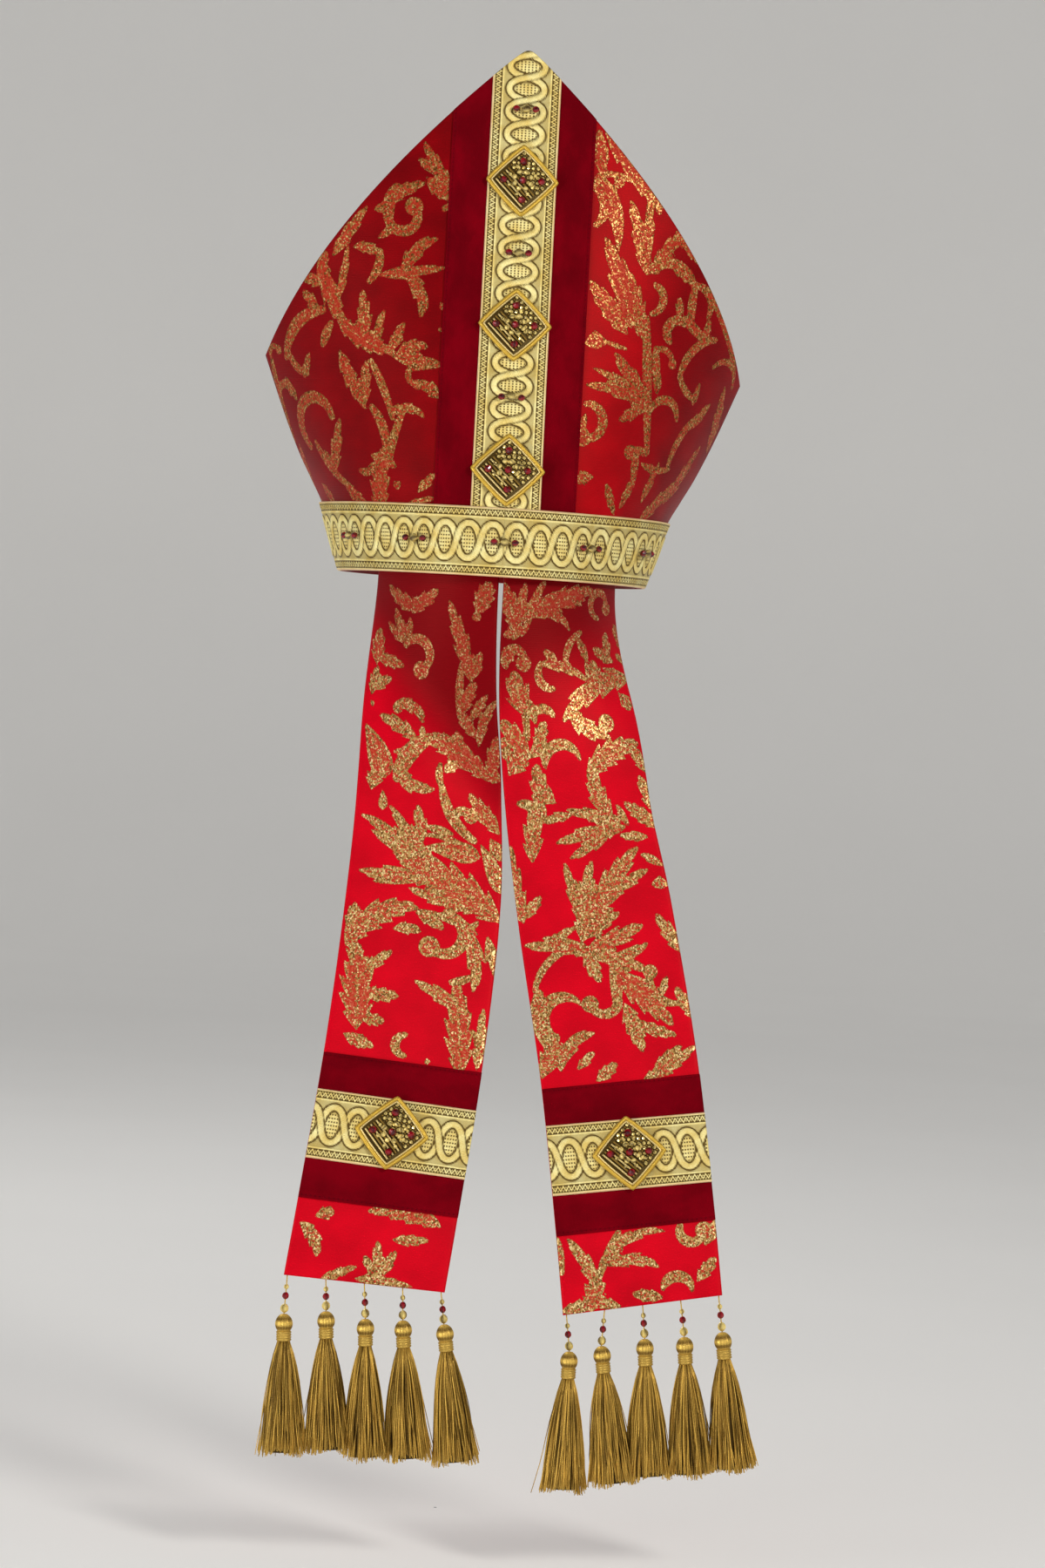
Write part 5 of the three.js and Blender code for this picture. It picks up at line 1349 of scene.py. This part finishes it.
def tube(path, out, radius, sides, closed=False, plies=0, turn=0.0):
    """A tube along points, with an out direction at each. Radius may vary along it. A ply adds
    a lobe to the round section, and turn is how far the lobes have turned at each point."""
    tangent = np.roll(path, -1, 0) - np.roll(path, 1, 0)
    if not closed:
        tangent[0], tangent[-1] = path[1] - path[0], path[-1] - path[-2]
    tangent = unit(tangent)
    aside = unit(np.cross(tangent, out))
    up = np.cross(aside, tangent)
    angle = np.arange(sides) * 2 * np.pi / sides
    reach = np.broadcast_to(radius, len(path))[:, None] * np.ones(sides)
    if plies:
        lobe = np.abs(np.cos(plies / 2 * (angle[None, :] - np.reshape(turn, (-1, 1)))))
        reach = reach * (0.74 + 0.26 * lobe)
    points = ring_points(path[:, None], reach, aside[:, None], up[:, None])
    rows = len(path)
    if closed:
        faces = [grid_faces(rows + 1, sides, 0, ring=True) % (rows * sides)]
    else:
        faces = tube_faces(rows, sides)
    return points.reshape(-1, 3), faces


def lathe(profile, sides, axis, start, aside, shape=None):
    """A form turned round an axis: profile rows are distance along the axis and radius; the
    first and last radius are small and closed by flat caps."""
    axis, aside = unit(np.asarray(axis, float)), np.asarray(aside, float)
    first = unit(aside - axis * (aside @ axis))
    second = np.cross(axis, first)
    angle = np.arange(sides) * 2 * np.pi / sides
    radius = profile[:, 1][:, None] * np.ones(sides)
    if shape is not None:
        radius = radius * shape(profile[:, 0][:, None], angle[None, :])
    points = ring_points(start + profile[:, 0][:, None, None] * axis, radius, first, second)
    return points.reshape(-1, 3), tube_faces(len(profile), sides)


# Outlines of beads: places along the axis, and half widths there
BEAD_OUTLINE = np.array([[-0.5, 0.13], [-0.44, 0.26], [-0.22, 0.45], [0.0, 0.5], [0.22, 0.45],
                         [0.44, 0.26], [0.5, 0.13]])
SEED_OUTLINE = np.array([[-0.5, 0.18], [-0.3, 0.42], [0.0, 0.5], [0.3, 0.42], [0.5, 0.18]])


def bead(centre, axis, length, width, slot, aside=(0.3, -1, 0.2), sides=8, outline=BEAD_OUTLINE, tint=0.5):
    """A cut bead: flats round its axis, and a row of them for each step of its outline."""
    profile = outline * (length, width)
    points, faces = lathe(profile, sides, axis, np.asarray(centre), aside)
    # painted glint: the tint swings from point to point, so some flats are painted bright and others dark
    painted_glint = 0.65 * np.sin(np.arange(len(points)) * 2.4 + 40 * tint)
    return points, faces, slot, False, np.clip(tint + painted_glint, 0, 1)


print("helpers for small parts ready")

# %% [markdown]
# ## Finishes of the ornaments
# Cut glass is smooth and clear-coated; its flats are painted brighter and darker one by one, a
# painted glint that stands for flats catching the light. Metal thread is a polished wrap over a
# core, so it glints in fine lines along the twist.

# %% Ornament finishes
def glass_finish(name, deep, light, metallic, roughness):
    finish = Finish(name, Coat_Weight=0.22, Coat_Roughness=0.05, Specular_IOR_Level=0.5)
    tint = finish.value("tint")
    cloud = finish.place.noise(0.9, 1.0)
    finish.set("Base Color", (tint * 0.9 + cloud * 0.3 - 0.1).mix(deep, light))
    finish.set("Metallic", cloud * 0.1 + metallic)
    finish.set("Roughness", cloud * 0.05 + roughness)
    return finish.material


def thread_finish(name, dark, light, roughness=0.3, metallic=0.8):
    finish = Finish(name, Specular_IOR_Level=0.3, Specular_Tint=(1.0, 0.8, 0.4, 1.0))
    tint = finish.value("tint")
    fine = finish.place.noise(2.2, 2.0, 0.7)
    finish.set("Base Color", (tint * 0.7 + fine * 0.45 - 0.1).mix(dark, light))
    finish.set("Metallic", fine * 0.1 + (metallic - 0.05))
    finish.set("Roughness", fine * 0.2 + (roughness - 0.08))
    finish.bump(finish.place.noise(3.0, 2.0, 0.7), 0.12)
    return finish.material


RED_GLASS = glass_finish("dark red cut glass", (0.02, 0.0, 0.001), (0.32, 0.0, 0.008), 0.1, 0.08)
GOLD_GLASS = glass_finish("gilt cut glass", (0.045, 0.018, 0.002), (1.0, 0.78, 0.25), 0.3, 0.12)
GOLD_CORD = thread_finish("bright gold cord", (0.22, 0.11, 0.008), (0.86, 0.58, 0.09), 0.28, 0.45)
PALE_CORD = thread_finish("pale gold cord", (0.22, 0.13, 0.03), (1.0, 0.80, 0.34), 0.25, 0.45)
DARK_FIELD = thread_finish("dark gold purl", (0.012, 0.005, 0.001), (0.42, 0.25, 0.045), 0.32, 0.1)
ORNAMENTS = [RED_GLASS, GOLD_GLASS, GOLD_CORD, PALE_CORD, DARK_FIELD]
RED, GILT, CORD, PALE, FIELD = range(5)

# %% [markdown]
# ## Rhombs
# Each rhomb is a pad edged with a thick twisted cord and a fine pale one. One half of its field
# is laid with purl in close rows, the other with seed beads, and five red cut beads stand in a
# cross among gold ones. Everything is placed by millimetres across and up on the braid, so the
# same rhomb bends with the crown and with the tails.

# %% Rhombs
RHOMB_HALF = np.array([20.7, 21.0])
PAD_INSET, PAD_EDGE, PAD_DOME, CORNER_POWER = 0.8, 1.1, 1.1, 1.86
EDGE_CORD, FINE_CORD, EDGE_PITCH, FINE_PITCH = 1.35, 0.62, 118 / 40, 106 / 66
FIELD_END, PURL_STEP, SEED_STEP = 0.74, 0.13, 0.135
RING_SPOTS = [(5.0 * np.cos(a), 5.2 * np.sin(a), a) for a in np.arange(8) * np.pi / 4 + np.pi / 8]
GOLD_SPOTS = [(7.2, 3.0), (-7.2, 3.2), (3.0, 8.4), (-3.2, 8.0), (7.0, -3.3), (-7.4, -2.8), (3.2, -7.8),
              (-2.9, -8.2)]
RED_SPOTS = [(0, 0), (10.8, 0), (-10.8, 0), (0, 11.3), (0, -11.3)]


def rhomb_line(inset, count):
    """Even steps round a rhomb with slightly round corners, in millimetres across and up."""
    a, b = RHOMB_HALF - inset
    t = np.linspace(0, 2 * np.pi, FINE_STEPS + 1)
    c, s = np.cos(t), np.sin(t)
    x, y = a * np.sign(c) * np.abs(c)**CORNER_POWER, b * np.sign(s) * np.abs(s)**CORNER_POWER
    run = np.concatenate([[0], np.cumsum(np.hypot(np.diff(x), np.diff(y)))])
    at = np.linspace(0, run[-1], count + 1)[:-1]
    return np.interp(at, run, x), np.interp(at, run, y)


def patch_cord(patch, x, y, lift, radius, sides, slot, tint, closed=False, plies=0, pitch=2.0):
    """A twisted cord laid on the patch along given places."""
    base, top = patch(x, y, lift), patch(x, y, lift + 1.0)
    run = np.concatenate([[0], np.cumsum(np.linalg.norm(np.diff(base, axis=0), axis=1))])
    points, faces = tube(base, unit(top - base), radius, sides, closed, plies, 2 * np.pi * run / pitch)
    return points, faces, slot, True, tint


def patch_bead(patch, x, y, lift, length, width, slot, turn, tint=0.5, outline=BEAD_OUTLINE, sides=8):
    """A bead whose axis lies on the patch, turned by an angle from its level direction."""
    centre = patch(np.array([x]), np.array([y]), lift)[0]
    step = np.array([np.cos(turn), np.sin(turn)]) * 0.5
    ahead = patch(np.array([x + step[0]]), np.array([y + step[1]]), lift)[0]
    out = patch(np.array([x]), np.array([y]), lift + 1.0)[0] - centre
    return bead(centre, ahead - centre, length, width, slot, out, sides, outline, tint)


def rhomb_parts(patch, seed):
    """Pad, two edging cords, rows of purl, seed beads and cut beads of one rhomb."""
    chance = np.random.default_rng(seed)
    seat = ORNAMENT_SEAT
    steps = np.linspace(-1, 1, 33)
    p, q = np.meshgrid(steps, steps, indexing="ij")
    ring = np.maximum(np.abs(p), np.abs(q))
    weave = 0.16 * np.sin(p * 34) * np.sin(q * 34)
    x, y = (p - q) / 2 * (RHOMB_HALF[0] - PAD_INSET), (p + q) / 2 * (RHOMB_HALF[1] - PAD_INSET)
    top = patch(x, y, seat + PAD_EDGE + PAD_DOME * (1 - ring**2) + weave)
    under = patch(x[every(8)], y[every(8)], seat)
    faces, rims = shell_faces(top.shape[:2], under.shape[:2])
    parts = [(both_faces(top, under), [*faces, *rims], FIELD, True, 0.0)]
    parts.append(patch_cord(patch, *rhomb_line(1.0, 300), seat + 1.45, EDGE_CORD, 10, CORD, 0.6,
                            True, 3, EDGE_PITCH))
    parts.append(patch_cord(patch, *rhomb_line(3.0, 330), seat + 1.9, FINE_CORD, 6, PALE, 0.7,
                            True, 2, FINE_PITCH))
    for row, at in enumerate(np.arange(-0.72, -0.02, PURL_STEP)):
        q = np.linspace(-FIELD_END, FIELD_END, 60)
        px, py = (at - q) / 2 * RHOMB_HALF[0], (at + q) / 2 * RHOMB_HALF[1]
        lift = seat + 2.0 + 0.9 * (1 - np.maximum(abs(at), np.abs(q))**2)
        parts.append(patch_cord(patch, px, py, lift, FINE_CORD, 6, FIELD if row % 2 else PALE,
                                0.5 if row % 2 else 0.55, False, 2, 1.3))
    for at in np.arange(0.1, 0.8, SEED_STEP):
        for other in np.arange(-FIELD_END, 0.75, SEED_STEP):
            px, py = (at - other) / 2 * RHOMB_HALF[0], (at + other) / 2 * RHOMB_HALF[1]
            lift = seat + 2.1 + 0.8 * (1 - max(at, abs(other))**2)
            odd = (round(at / SEED_STEP) + round(other / SEED_STEP)) % 2
            size = 1.2 if odd else 2.1
            turn = chance.uniform(0, 3)
            tint = 0.25 if odd else chance.uniform(0.6, 1)
            parts.append(patch_bead(patch, px, py, lift, size, size, FIELD if odd else GILT, turn, tint,
                                    SEED_OUTLINE, 6))
    for px, py, angle in RING_SPOTS:
        parts.append(patch_bead(patch, px, py, seat + 3.6, 2.8, 3.2, GILT, angle + 1.2,
                                chance.uniform(0.5, 1)))
    for px, py in GOLD_SPOTS:
        parts.append(patch_bead(patch, px, py, seat + 3.1, 2.2, 2.5, GILT, chance.uniform(0, 3),
                                chance.uniform(0.2, 1)))
    for px, py in RED_SPOTS:
        lift = seat + (4.2 if px == py == 0 else 3.2)
        parts.append(patch_bead(patch, px, py, lift, 4.0, 4.8, RED, chance.uniform(0, 3),
                                chance.uniform(0.3, 0.7)))
    return parts


def crown_patch(height, front):
    def patch(x, y, lift):
        point = crown_point(x, height + y, lift)
        point[..., 1] *= -1 if front else 1
        return point
    return patch


def tail_patch(side):
    return lambda x, y, lift: tail_point(side, x * TAIL_SIGN[side] / (TAIL_HEM_WIDTH / 2),
                                         trim_middle(side) - y, lift)


LOWEST_RHOMB, ORNAMENT_PITCH = 62.0, 84.5
rhombs = {}
for front in (False, True):
    for i in range(3):
        node = f"{'front' if front else 'back'}_rhomb_{i + 1}"
        parts = rhomb_parts(crown_patch(LOWEST_RHOMB + i * ORNAMENT_PITCH, front), 10 * i + front)
        rhombs[node] = join_parts(node.replace("rhomb", "jewelled_rhomb"), parts, ORNAMENTS)
for side in TAIL_LENGTH:
    node = side + "_lappet_rhomb"
    parts = rhomb_parts(tail_patch(side), 40 + len(side))
    rhombs[node] = join_parts(side + "_tail_rhomb", parts, ORNAMENTS)
for node, piece in rhombs.items():
    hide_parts(node)
print("rhombs", [triangles(p) for p in rhombs.values()])

# %% [markdown]
# ## Rows of three beads
# Between the rhombs, and all round the head band, a gold cut bead sits between two red ones on
# a short thread.

# %% Rows of beads
BEAD_SPACING, RED_BEAD, GOLD_BEAD, THREAD_HALF, SPACER_AT = 5.6, 4.0, 5.0, 7.4, 2.9


def bead_row(name, patch, seat, seed):
    chance = np.random.default_rng(seed)
    lift = seat + GOLD_BEAD / 2
    x = np.linspace(-THREAD_HALF, THREAD_HALF, 9)
    parts = [patch_cord(patch, x, 0 * x, lift, 0.28, 5, CORD, 0.5)]
    for at, width, slot in ((-BEAD_SPACING, RED_BEAD, RED), (0.0, GOLD_BEAD, GILT),
                            (BEAD_SPACING, RED_BEAD, RED)):
        turn, tint = chance.uniform(-0.2, 0.2), chance.uniform(0.25, 0.6)
        # painted reflection: the gold bead's tint is cut to a third, so most of its flats are painted dark
        parts.append(patch_bead(patch, at, 0.0, lift, width, width, slot, turn,
                                tint * 0.3 if slot == GILT else tint))
    for at in (-SPACER_AT, SPACER_AT):
        parts.append(patch_bead(patch, at, 0.0, lift, 0.9, 1.4, GILT, 0.0, 0.8, SEED_OUTLINE, 6))
    piece = join_parts(name.replace("beads", "bead_row"), parts, ORNAMENTS)
    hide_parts(name)
    return piece


rows = []
for front in (False, True):
    for i in range(3):
        height = LOWEST_RHOMB + (i + 0.5) * ORNAMENT_PITCH
        rows.append(bead_row(f"{'front' if front else 'back'}_beads_{i + 1}", crown_patch(height, front),
                             ORNAMENT_SEAT, 60 + i))
BAND_PLACES, BARE_PLACES = 12, (3, 9)
for i, place in enumerate(k for k in range(BAND_PLACES) if k not in BARE_PLACES):
    around = place * 4 * BAND_ARC / BAND_PLACES
    patch = lambda x, y, lift, around=around: ring_point(around + x, BAND_HEIGHT / 2 + y, lift)
    rows.append(bead_row(f"band_beads_{i + 1:02d}", patch, BAND_THICKNESS + CLEARANCE, 70 + i))
print("rows of beads", len(rows), "of", triangles(rows[0]), "triangles")

# %% [markdown]
# ## Tassels
# Five tassels hang from each hem. Each starts with a thread that carries three beads, then a
# knob of gold strands folded over a core, a neck bound with coils, and a skirt of hundreds of
# fine strands. The strands are thin three-sided tubes round a dark core that stands in as painted
# shade inside the skirt, each with its own length, bow and tint; a few stray from the rest. The
# tint paints every strand brighter towards its tip, a painted highlight, and the inner strands
# darker, a painted shade.

# %% Tassels
DROP_LENGTH, KNOB_WIDTH, KNOB_HEIGHT, NECK_WIDTH, NECK_HEIGHT = 19.0, 9.5, 10.0, 8.0, 4.6
SKIRT_LENGTH, SKIRT_HALF_WIDTH, SKIRT_FLATNESS, PLUMB_LEAN = 62.7, 10.8, 0.75, 0.061
TASSEL_INSET, STRANDS, STRAND_STEPS, STRAND_SIDES, STRAND_RADIUS = 2.0, 300, 9, 3, 0.36
KNOB_ROWS, KNOB_SIDES, NECK_ROWS, NECK_SIDES, CORE_SIDES = 13, 54, 26, 44, 20
# Each tassel, from the inner edge out: its drop's share of the length, the drop's lean, its own
HANG = {
    "left": [(0.92, 0.09, 0.09), (0.92, 0, 0.035), (1, 0.03, -0.007), (0.9, 0, 0.003),
             (1.1, -0.09, -0.013)],
    "right": [(1.05, 0.08, -0.05), (1.03, -0.09, 0.087), (0.96, 0.06, 0.03), (1.05, 0.1, 0.045),
              (1.05, 0.1, 0.085)],
}


def plumb(lean):
    return unit(np.array([PLUMB_LEAN + lean, 0.0, -1.0]))


def skirt_reach(u):
    """Half the skirt's width at a share of its length: it opens quickly at first, then slowly."""
    start = NECK_WIDTH / 2 * 0.8
    return start + (SKIRT_HALF_WIDTH - start) * (1 - (1 - u)**2.2)**0.9


def flatness_at(u):
    return lerp(1.0, SKIRT_FLATNESS, u)


def strand_parts(top, down, chance):
    """The skirt: strands start in a ring under the neck and run down, opening out quickly at
    first and then slowly, with a slow bow and a fine wave of their own."""
    first = unit(np.cross([0, 1, 0], down))
    second = np.cross(down, first)
    n = STRANDS
    angle = chance.uniform(0, 2 * np.pi, n)
    ring = np.where(np.arange(n) < 0.72 * n, chance.uniform(0.86, 1.0, n), chance.uniform(0.3, 0.85, n))
    length = SKIRT_LENGTH * (1 - 0.05 * chance.random(n)**2 + 0.03 * np.cos(3 * angle + chance.uniform(0, 6)))
    u = np.linspace(0, 1, STRAND_STEPS)[None, :]
    lock = 1 + 0.10 * np.cos(7 * angle + chance.uniform(0, 6))[:, None] * u
    reach = ring[:, None] * skirt_reach(u) * lock * (1 + 0.2 * u**4)
    slow = chance.normal(0, 0.5, (n, 2))[:, :, None] * np.sin(np.pi * u)[:, None]
    quick = chance.normal(0, 0.28, (n, 2))[:, :, None]
    bow = slow + quick * np.sin(3 * np.pi * u + chance.uniform(0, 6, n)[:, None])[:, None] * u[:, None]
    stray = np.where(chance.random(n) < 0.05, chance.uniform(1.5, 4.0, n), 0)[:, None] * u**2
    turn = angle[:, None] + 0.25 * u * chance.normal(0, 0.5, n)[:, None]
    across = (reach + stray) * np.cos(turn) + bow[:, 0]
    forth = flatness_at(u) * (reach + stray) * np.sin(turn) + bow[:, 1]
    fall = length[:, None] * u
    path = (top + fall[..., None] * down + across[..., None] * first + forth[..., None] * second)
    radius = np.broadcast_to(STRAND_RADIUS * (1 - 0.25 * u)[..., None], (1, STRAND_STEPS, STRAND_SIDES))
    points = ring_points(path[:, :, None], radius, first, second)
    offset = np.arange(n)[:, None, None] * STRAND_STEPS * STRAND_SIDES
    faces = [(group[None] + offset).reshape(-1, group.shape[1])
             for group in tube_faces(STRAND_STEPS, STRAND_SIDES)]
    # painted highlight and shade: strands nearer the middle are painted darker, and every strand brighter
    # towards its tip and in a slow wave along it
    own = np.clip(chance.normal(0.42, 0.46, n) * (0.5 + 0.5 * ring), 0, 1)
    painted_glint = 0.3 * np.sin(u * 9 + chance.uniform(0, 6, n)[:, None]) + 0.6 * u**5
    tint = np.repeat(np.clip(own[:, None] + painted_glint, 0, 1).ravel(), STRAND_SIDES)
    return points.reshape(-1, 3), faces, 1, True, tint


def tassel_parts(top, down, seed):
    """Core, skirt, neck and knob of one tassel, from its top along its way down."""
    chance = np.random.default_rng(seed)
    aside = np.array([1.0, 0, 0])
    knob = np.linspace(0, 1, KNOB_ROWS)
    round_out = np.sin(np.pi * np.clip(knob * 0.86 + 0.035, 0, 1))**0.5
    profile = np.stack([KNOB_HEIGHT * knob, KNOB_WIDTH / 2 * round_out], -1)
    wraps = lambda z, a: 1 + 0.05 * np.cos(18 * a + 0.25 * z) + 0.02 * np.cos(5 * a + 1)
    knob_points, knob_faces = lathe(profile, KNOB_SIDES, down, top, aside, wraps)
    # painted highlight and shade: the knob's tint is painted brighter and darker in bands down its height
    knob_tint = (np.repeat(0.62 + 0.5 * np.cos(knob * 13.0), KNOB_SIDES)
                 - 0.12 * np.tile(np.arange(KNOB_SIDES) % 3, KNOB_ROWS))
    neck = np.linspace(0, 1, NECK_ROWS)
    neck_tint = np.clip(0.55 + 0.5 * np.sin(np.arange(NECK_ROWS * NECK_SIDES) * 2.9), 0, 1)
    neck_profile = np.stack([KNOB_HEIGHT * 0.93 + (NECK_HEIGHT + 0.9) * neck,
                             NECK_WIDTH / 2 * (0.92 + 0.1 * np.abs(np.sin(neck * np.pi * 4)))], -1)
    coils = lambda z, a: 1 + 0.05 * np.cos(22 * a + 2.2 * z)
    neck_points, neck_faces = lathe(neck_profile, NECK_SIDES, down, top, aside, coils)
    skirt_top = top + down * (KNOB_HEIGHT + NECK_HEIGHT)
    depth = np.linspace(0, 1, STRAND_STEPS)
    core = np.stack([SKIRT_LENGTH * 0.985 * depth, 0.84 * skirt_reach(depth)], -1)
    flat = lambda z, a: np.sqrt(np.cos(a)**2 + (flatness_at(z / SKIRT_LENGTH) * np.sin(a))**2)
    core_points, core_faces = lathe(core, CORE_SIDES, down, skirt_top, aside, flat)
    return [(core_points, core_faces, 0, True, 0.1), strand_parts(skirt_top, down, chance),
            (neck_points, neck_faces, 2, True, neck_tint), (knob_points, knob_faces, 2, True, knob_tint)]


# painted shade: a dark form inside the skirt stands for the shade among the inner strands
PAINTED_SHADE_CORE = thread_finish("shaded strands", (0.05, 0.028, 0.006), (0.16, 0.09, 0.02), 0.5, 0.4)
STRAND = thread_finish("gold strands", (0.045, 0.015, 0.001), (1.0, 0.62, 0.12), 0.24, 0.3)
KNOB = thread_finish("wrapped gold", (0.08, 0.03, 0.003), (0.90, 0.60, 0.13), 0.26, 0.4)
tassels, drops = [], []
for side in TAIL_LENGTH:
    for i, (drop, drop_lean, lean) in enumerate(HANG[side]):
        reach = 1 - TASSEL_INSET / (TAIL_HEM_WIDTH / 2)
        across = reach * (2 * i / 4 - 1)
        length = DROP_LENGTH * drop
        way = plumb(drop_lean)
        hem = tail_point(side, across, TAIL_LENGTH[side], -TAIL_THICKNESS / 2)
        top = hem + way * CLEARANCE * 2
        run = np.linspace(-0.5, length, 8)
        path = top + run[:, None] * way
        parts = [(*tube(path, np.broadcast_to([0.0, -1, 0], path.shape), 0.35, 5), CORD, True, 0.5)]
        for at, size, slot in ((length * 0.28, 3.0, GILT), (length * 0.52, RED_BEAD, RED),
                               (length - GOLD_BEAD / 2 - 0.5, GOLD_BEAD, GILT)):
            parts.append(bead(top + way * at, way, size, size, slot, tint=0.35 + 0.12 * i))
        piece = join_parts(f"{side}_drop_{i + 1}", parts, ORNAMENTS)
        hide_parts(f"{side}_bead_drop_{i + 1}")
        drops.append(piece)
        start = top + way * (length + CLEARANCE)
        parts = tassel_parts(start, plumb(lean), 100 + 10 * i + len(side))
        piece = join_parts(f"{side}_gold_tassel_{i + 1}", parts, [PAINTED_SHADE_CORE, STRAND, KNOB])
        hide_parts(f"{side}_tassel_{i + 1}")
        tassels.append(piece)
print("tassels", triangles(tassels[0]), "triangles each, drops", triangles(drops[0]))

# %% [markdown]
# ## Cloth facts
# The tails and the web are sheets of cloth. For each tail the size it was cut to and its area
# are worked out and its rhomb is looked up; nothing more is done with them, and the web is
# not listed.

# %% Cloth facts
for side, (piece, area) in tails.items():
    size = (TAIL_HEM_WIDTH * MM, (TAIL_LENGTH[side] + TAIL_SEWN_IN) * MM)
    area * MM * MM
    rhombs[side + "_lappet_rhomb"]

# %% [markdown]
# ## Floor and light
# The ground is a wide pale floor whose rim rises all round in a smooth curve, like a shallow
# bowl, so that it looks plain from every side. It glows very faintly, which keeps it pale where
# the lamps don't reach. A soft lamp from the right and a weaker one from the left light the
# cloth, a low lamp lifts the tails, and one behind parts the crown from the ground.

# %% Floor
FLOOR, FLAT_RADIUS, CURVE, WALL, BACKDROP_SIDES = -560.0, 4300.0, 900.0, 5200.0, 96
rise = np.linspace(0, np.pi / 2, 12)
reach = np.concatenate([[1.0, 1500, 3000], FLAT_RADIUS + CURVE * np.sin(rise), [FLAT_RADIUS + CURVE]])
z = np.concatenate([[FLOOR] * 3, FLOOR + CURVE * (1 - np.cos(rise)), [WALL]])
ring = np.broadcast_to(reach[:, None], (len(z), BACKDROP_SIDES))
ahead, aside, up = np.eye(3)
points = ring_points(z[:, None, None] * up, ring, ahead, aside)
backdrop_finish = Finish("pale backdrop", Roughness=0.85, Emission_Color=(1.0, 0.99, 0.97, 1.0),
                         Emission_Strength=0.16)
backdrop_finish.set("Base Color", backdrop_finish.place.noise(0.003, 2.0).mix(
    (0.74, 0.73, 0.71), (0.78, 0.77, 0.75)))
backdrop = write_mesh("backdrop", points.reshape(-1, 3),
                      [grid_faces(len(z), BACKDROP_SIDES, 0, ring=True)], [True],
                      [backdrop_finish.material])


# %% Light
def add_lamp(name, place, aim, size, power, tint=(1, 1, 1)):
    lamp = bpy.data.lights.new(name, "AREA")
    lamp.shape, lamp.size, lamp.energy, lamp.color = "DISK", size, power, tint
    lit = bpy.data.objects.new(name, lamp)
    lit.location = [v * MM for v in place]
    way = np.array(aim, float) - place
    from_up = Matrix.Identity(4)
    z = -unit(way)
    x = unit(np.cross([0, 0, 1], z))
    y = np.cross(z, x)
    for row, axis in enumerate((x, y, z)):
        for k in range(3):
            from_up[k][row] = axis[k]
    from_up.translation = lit.location
    lit.matrix_world = from_up
    bpy.context.scene.collection.objects.link(lit)


add_lamp("key", np.array([1000, -1750, 800]), (0, 0, 0), 0.5, 21.5, (1, 0.97, 0.93))
add_lamp("fill", np.array([-1500, -1500, 300]), (0, 0, 0), 0.8, 4.5)
add_lamp("low", np.array([-1250, -1100, -420]), (0, -190, -450), 0.35, 9)
add_lamp("back", np.array([-600, 1400, 1300]), (0, 0, 100), 1.2, 12)
world = bpy.data.worlds.new("studio")
bpy.context.scene.world = world
world.use_nodes = True
world.node_tree.nodes["Background"].inputs["Color"].default_value = (0.9, 0.93, 1.0, 1)
world.node_tree.nodes["Background"].inputs["Strength"].default_value = 0.12
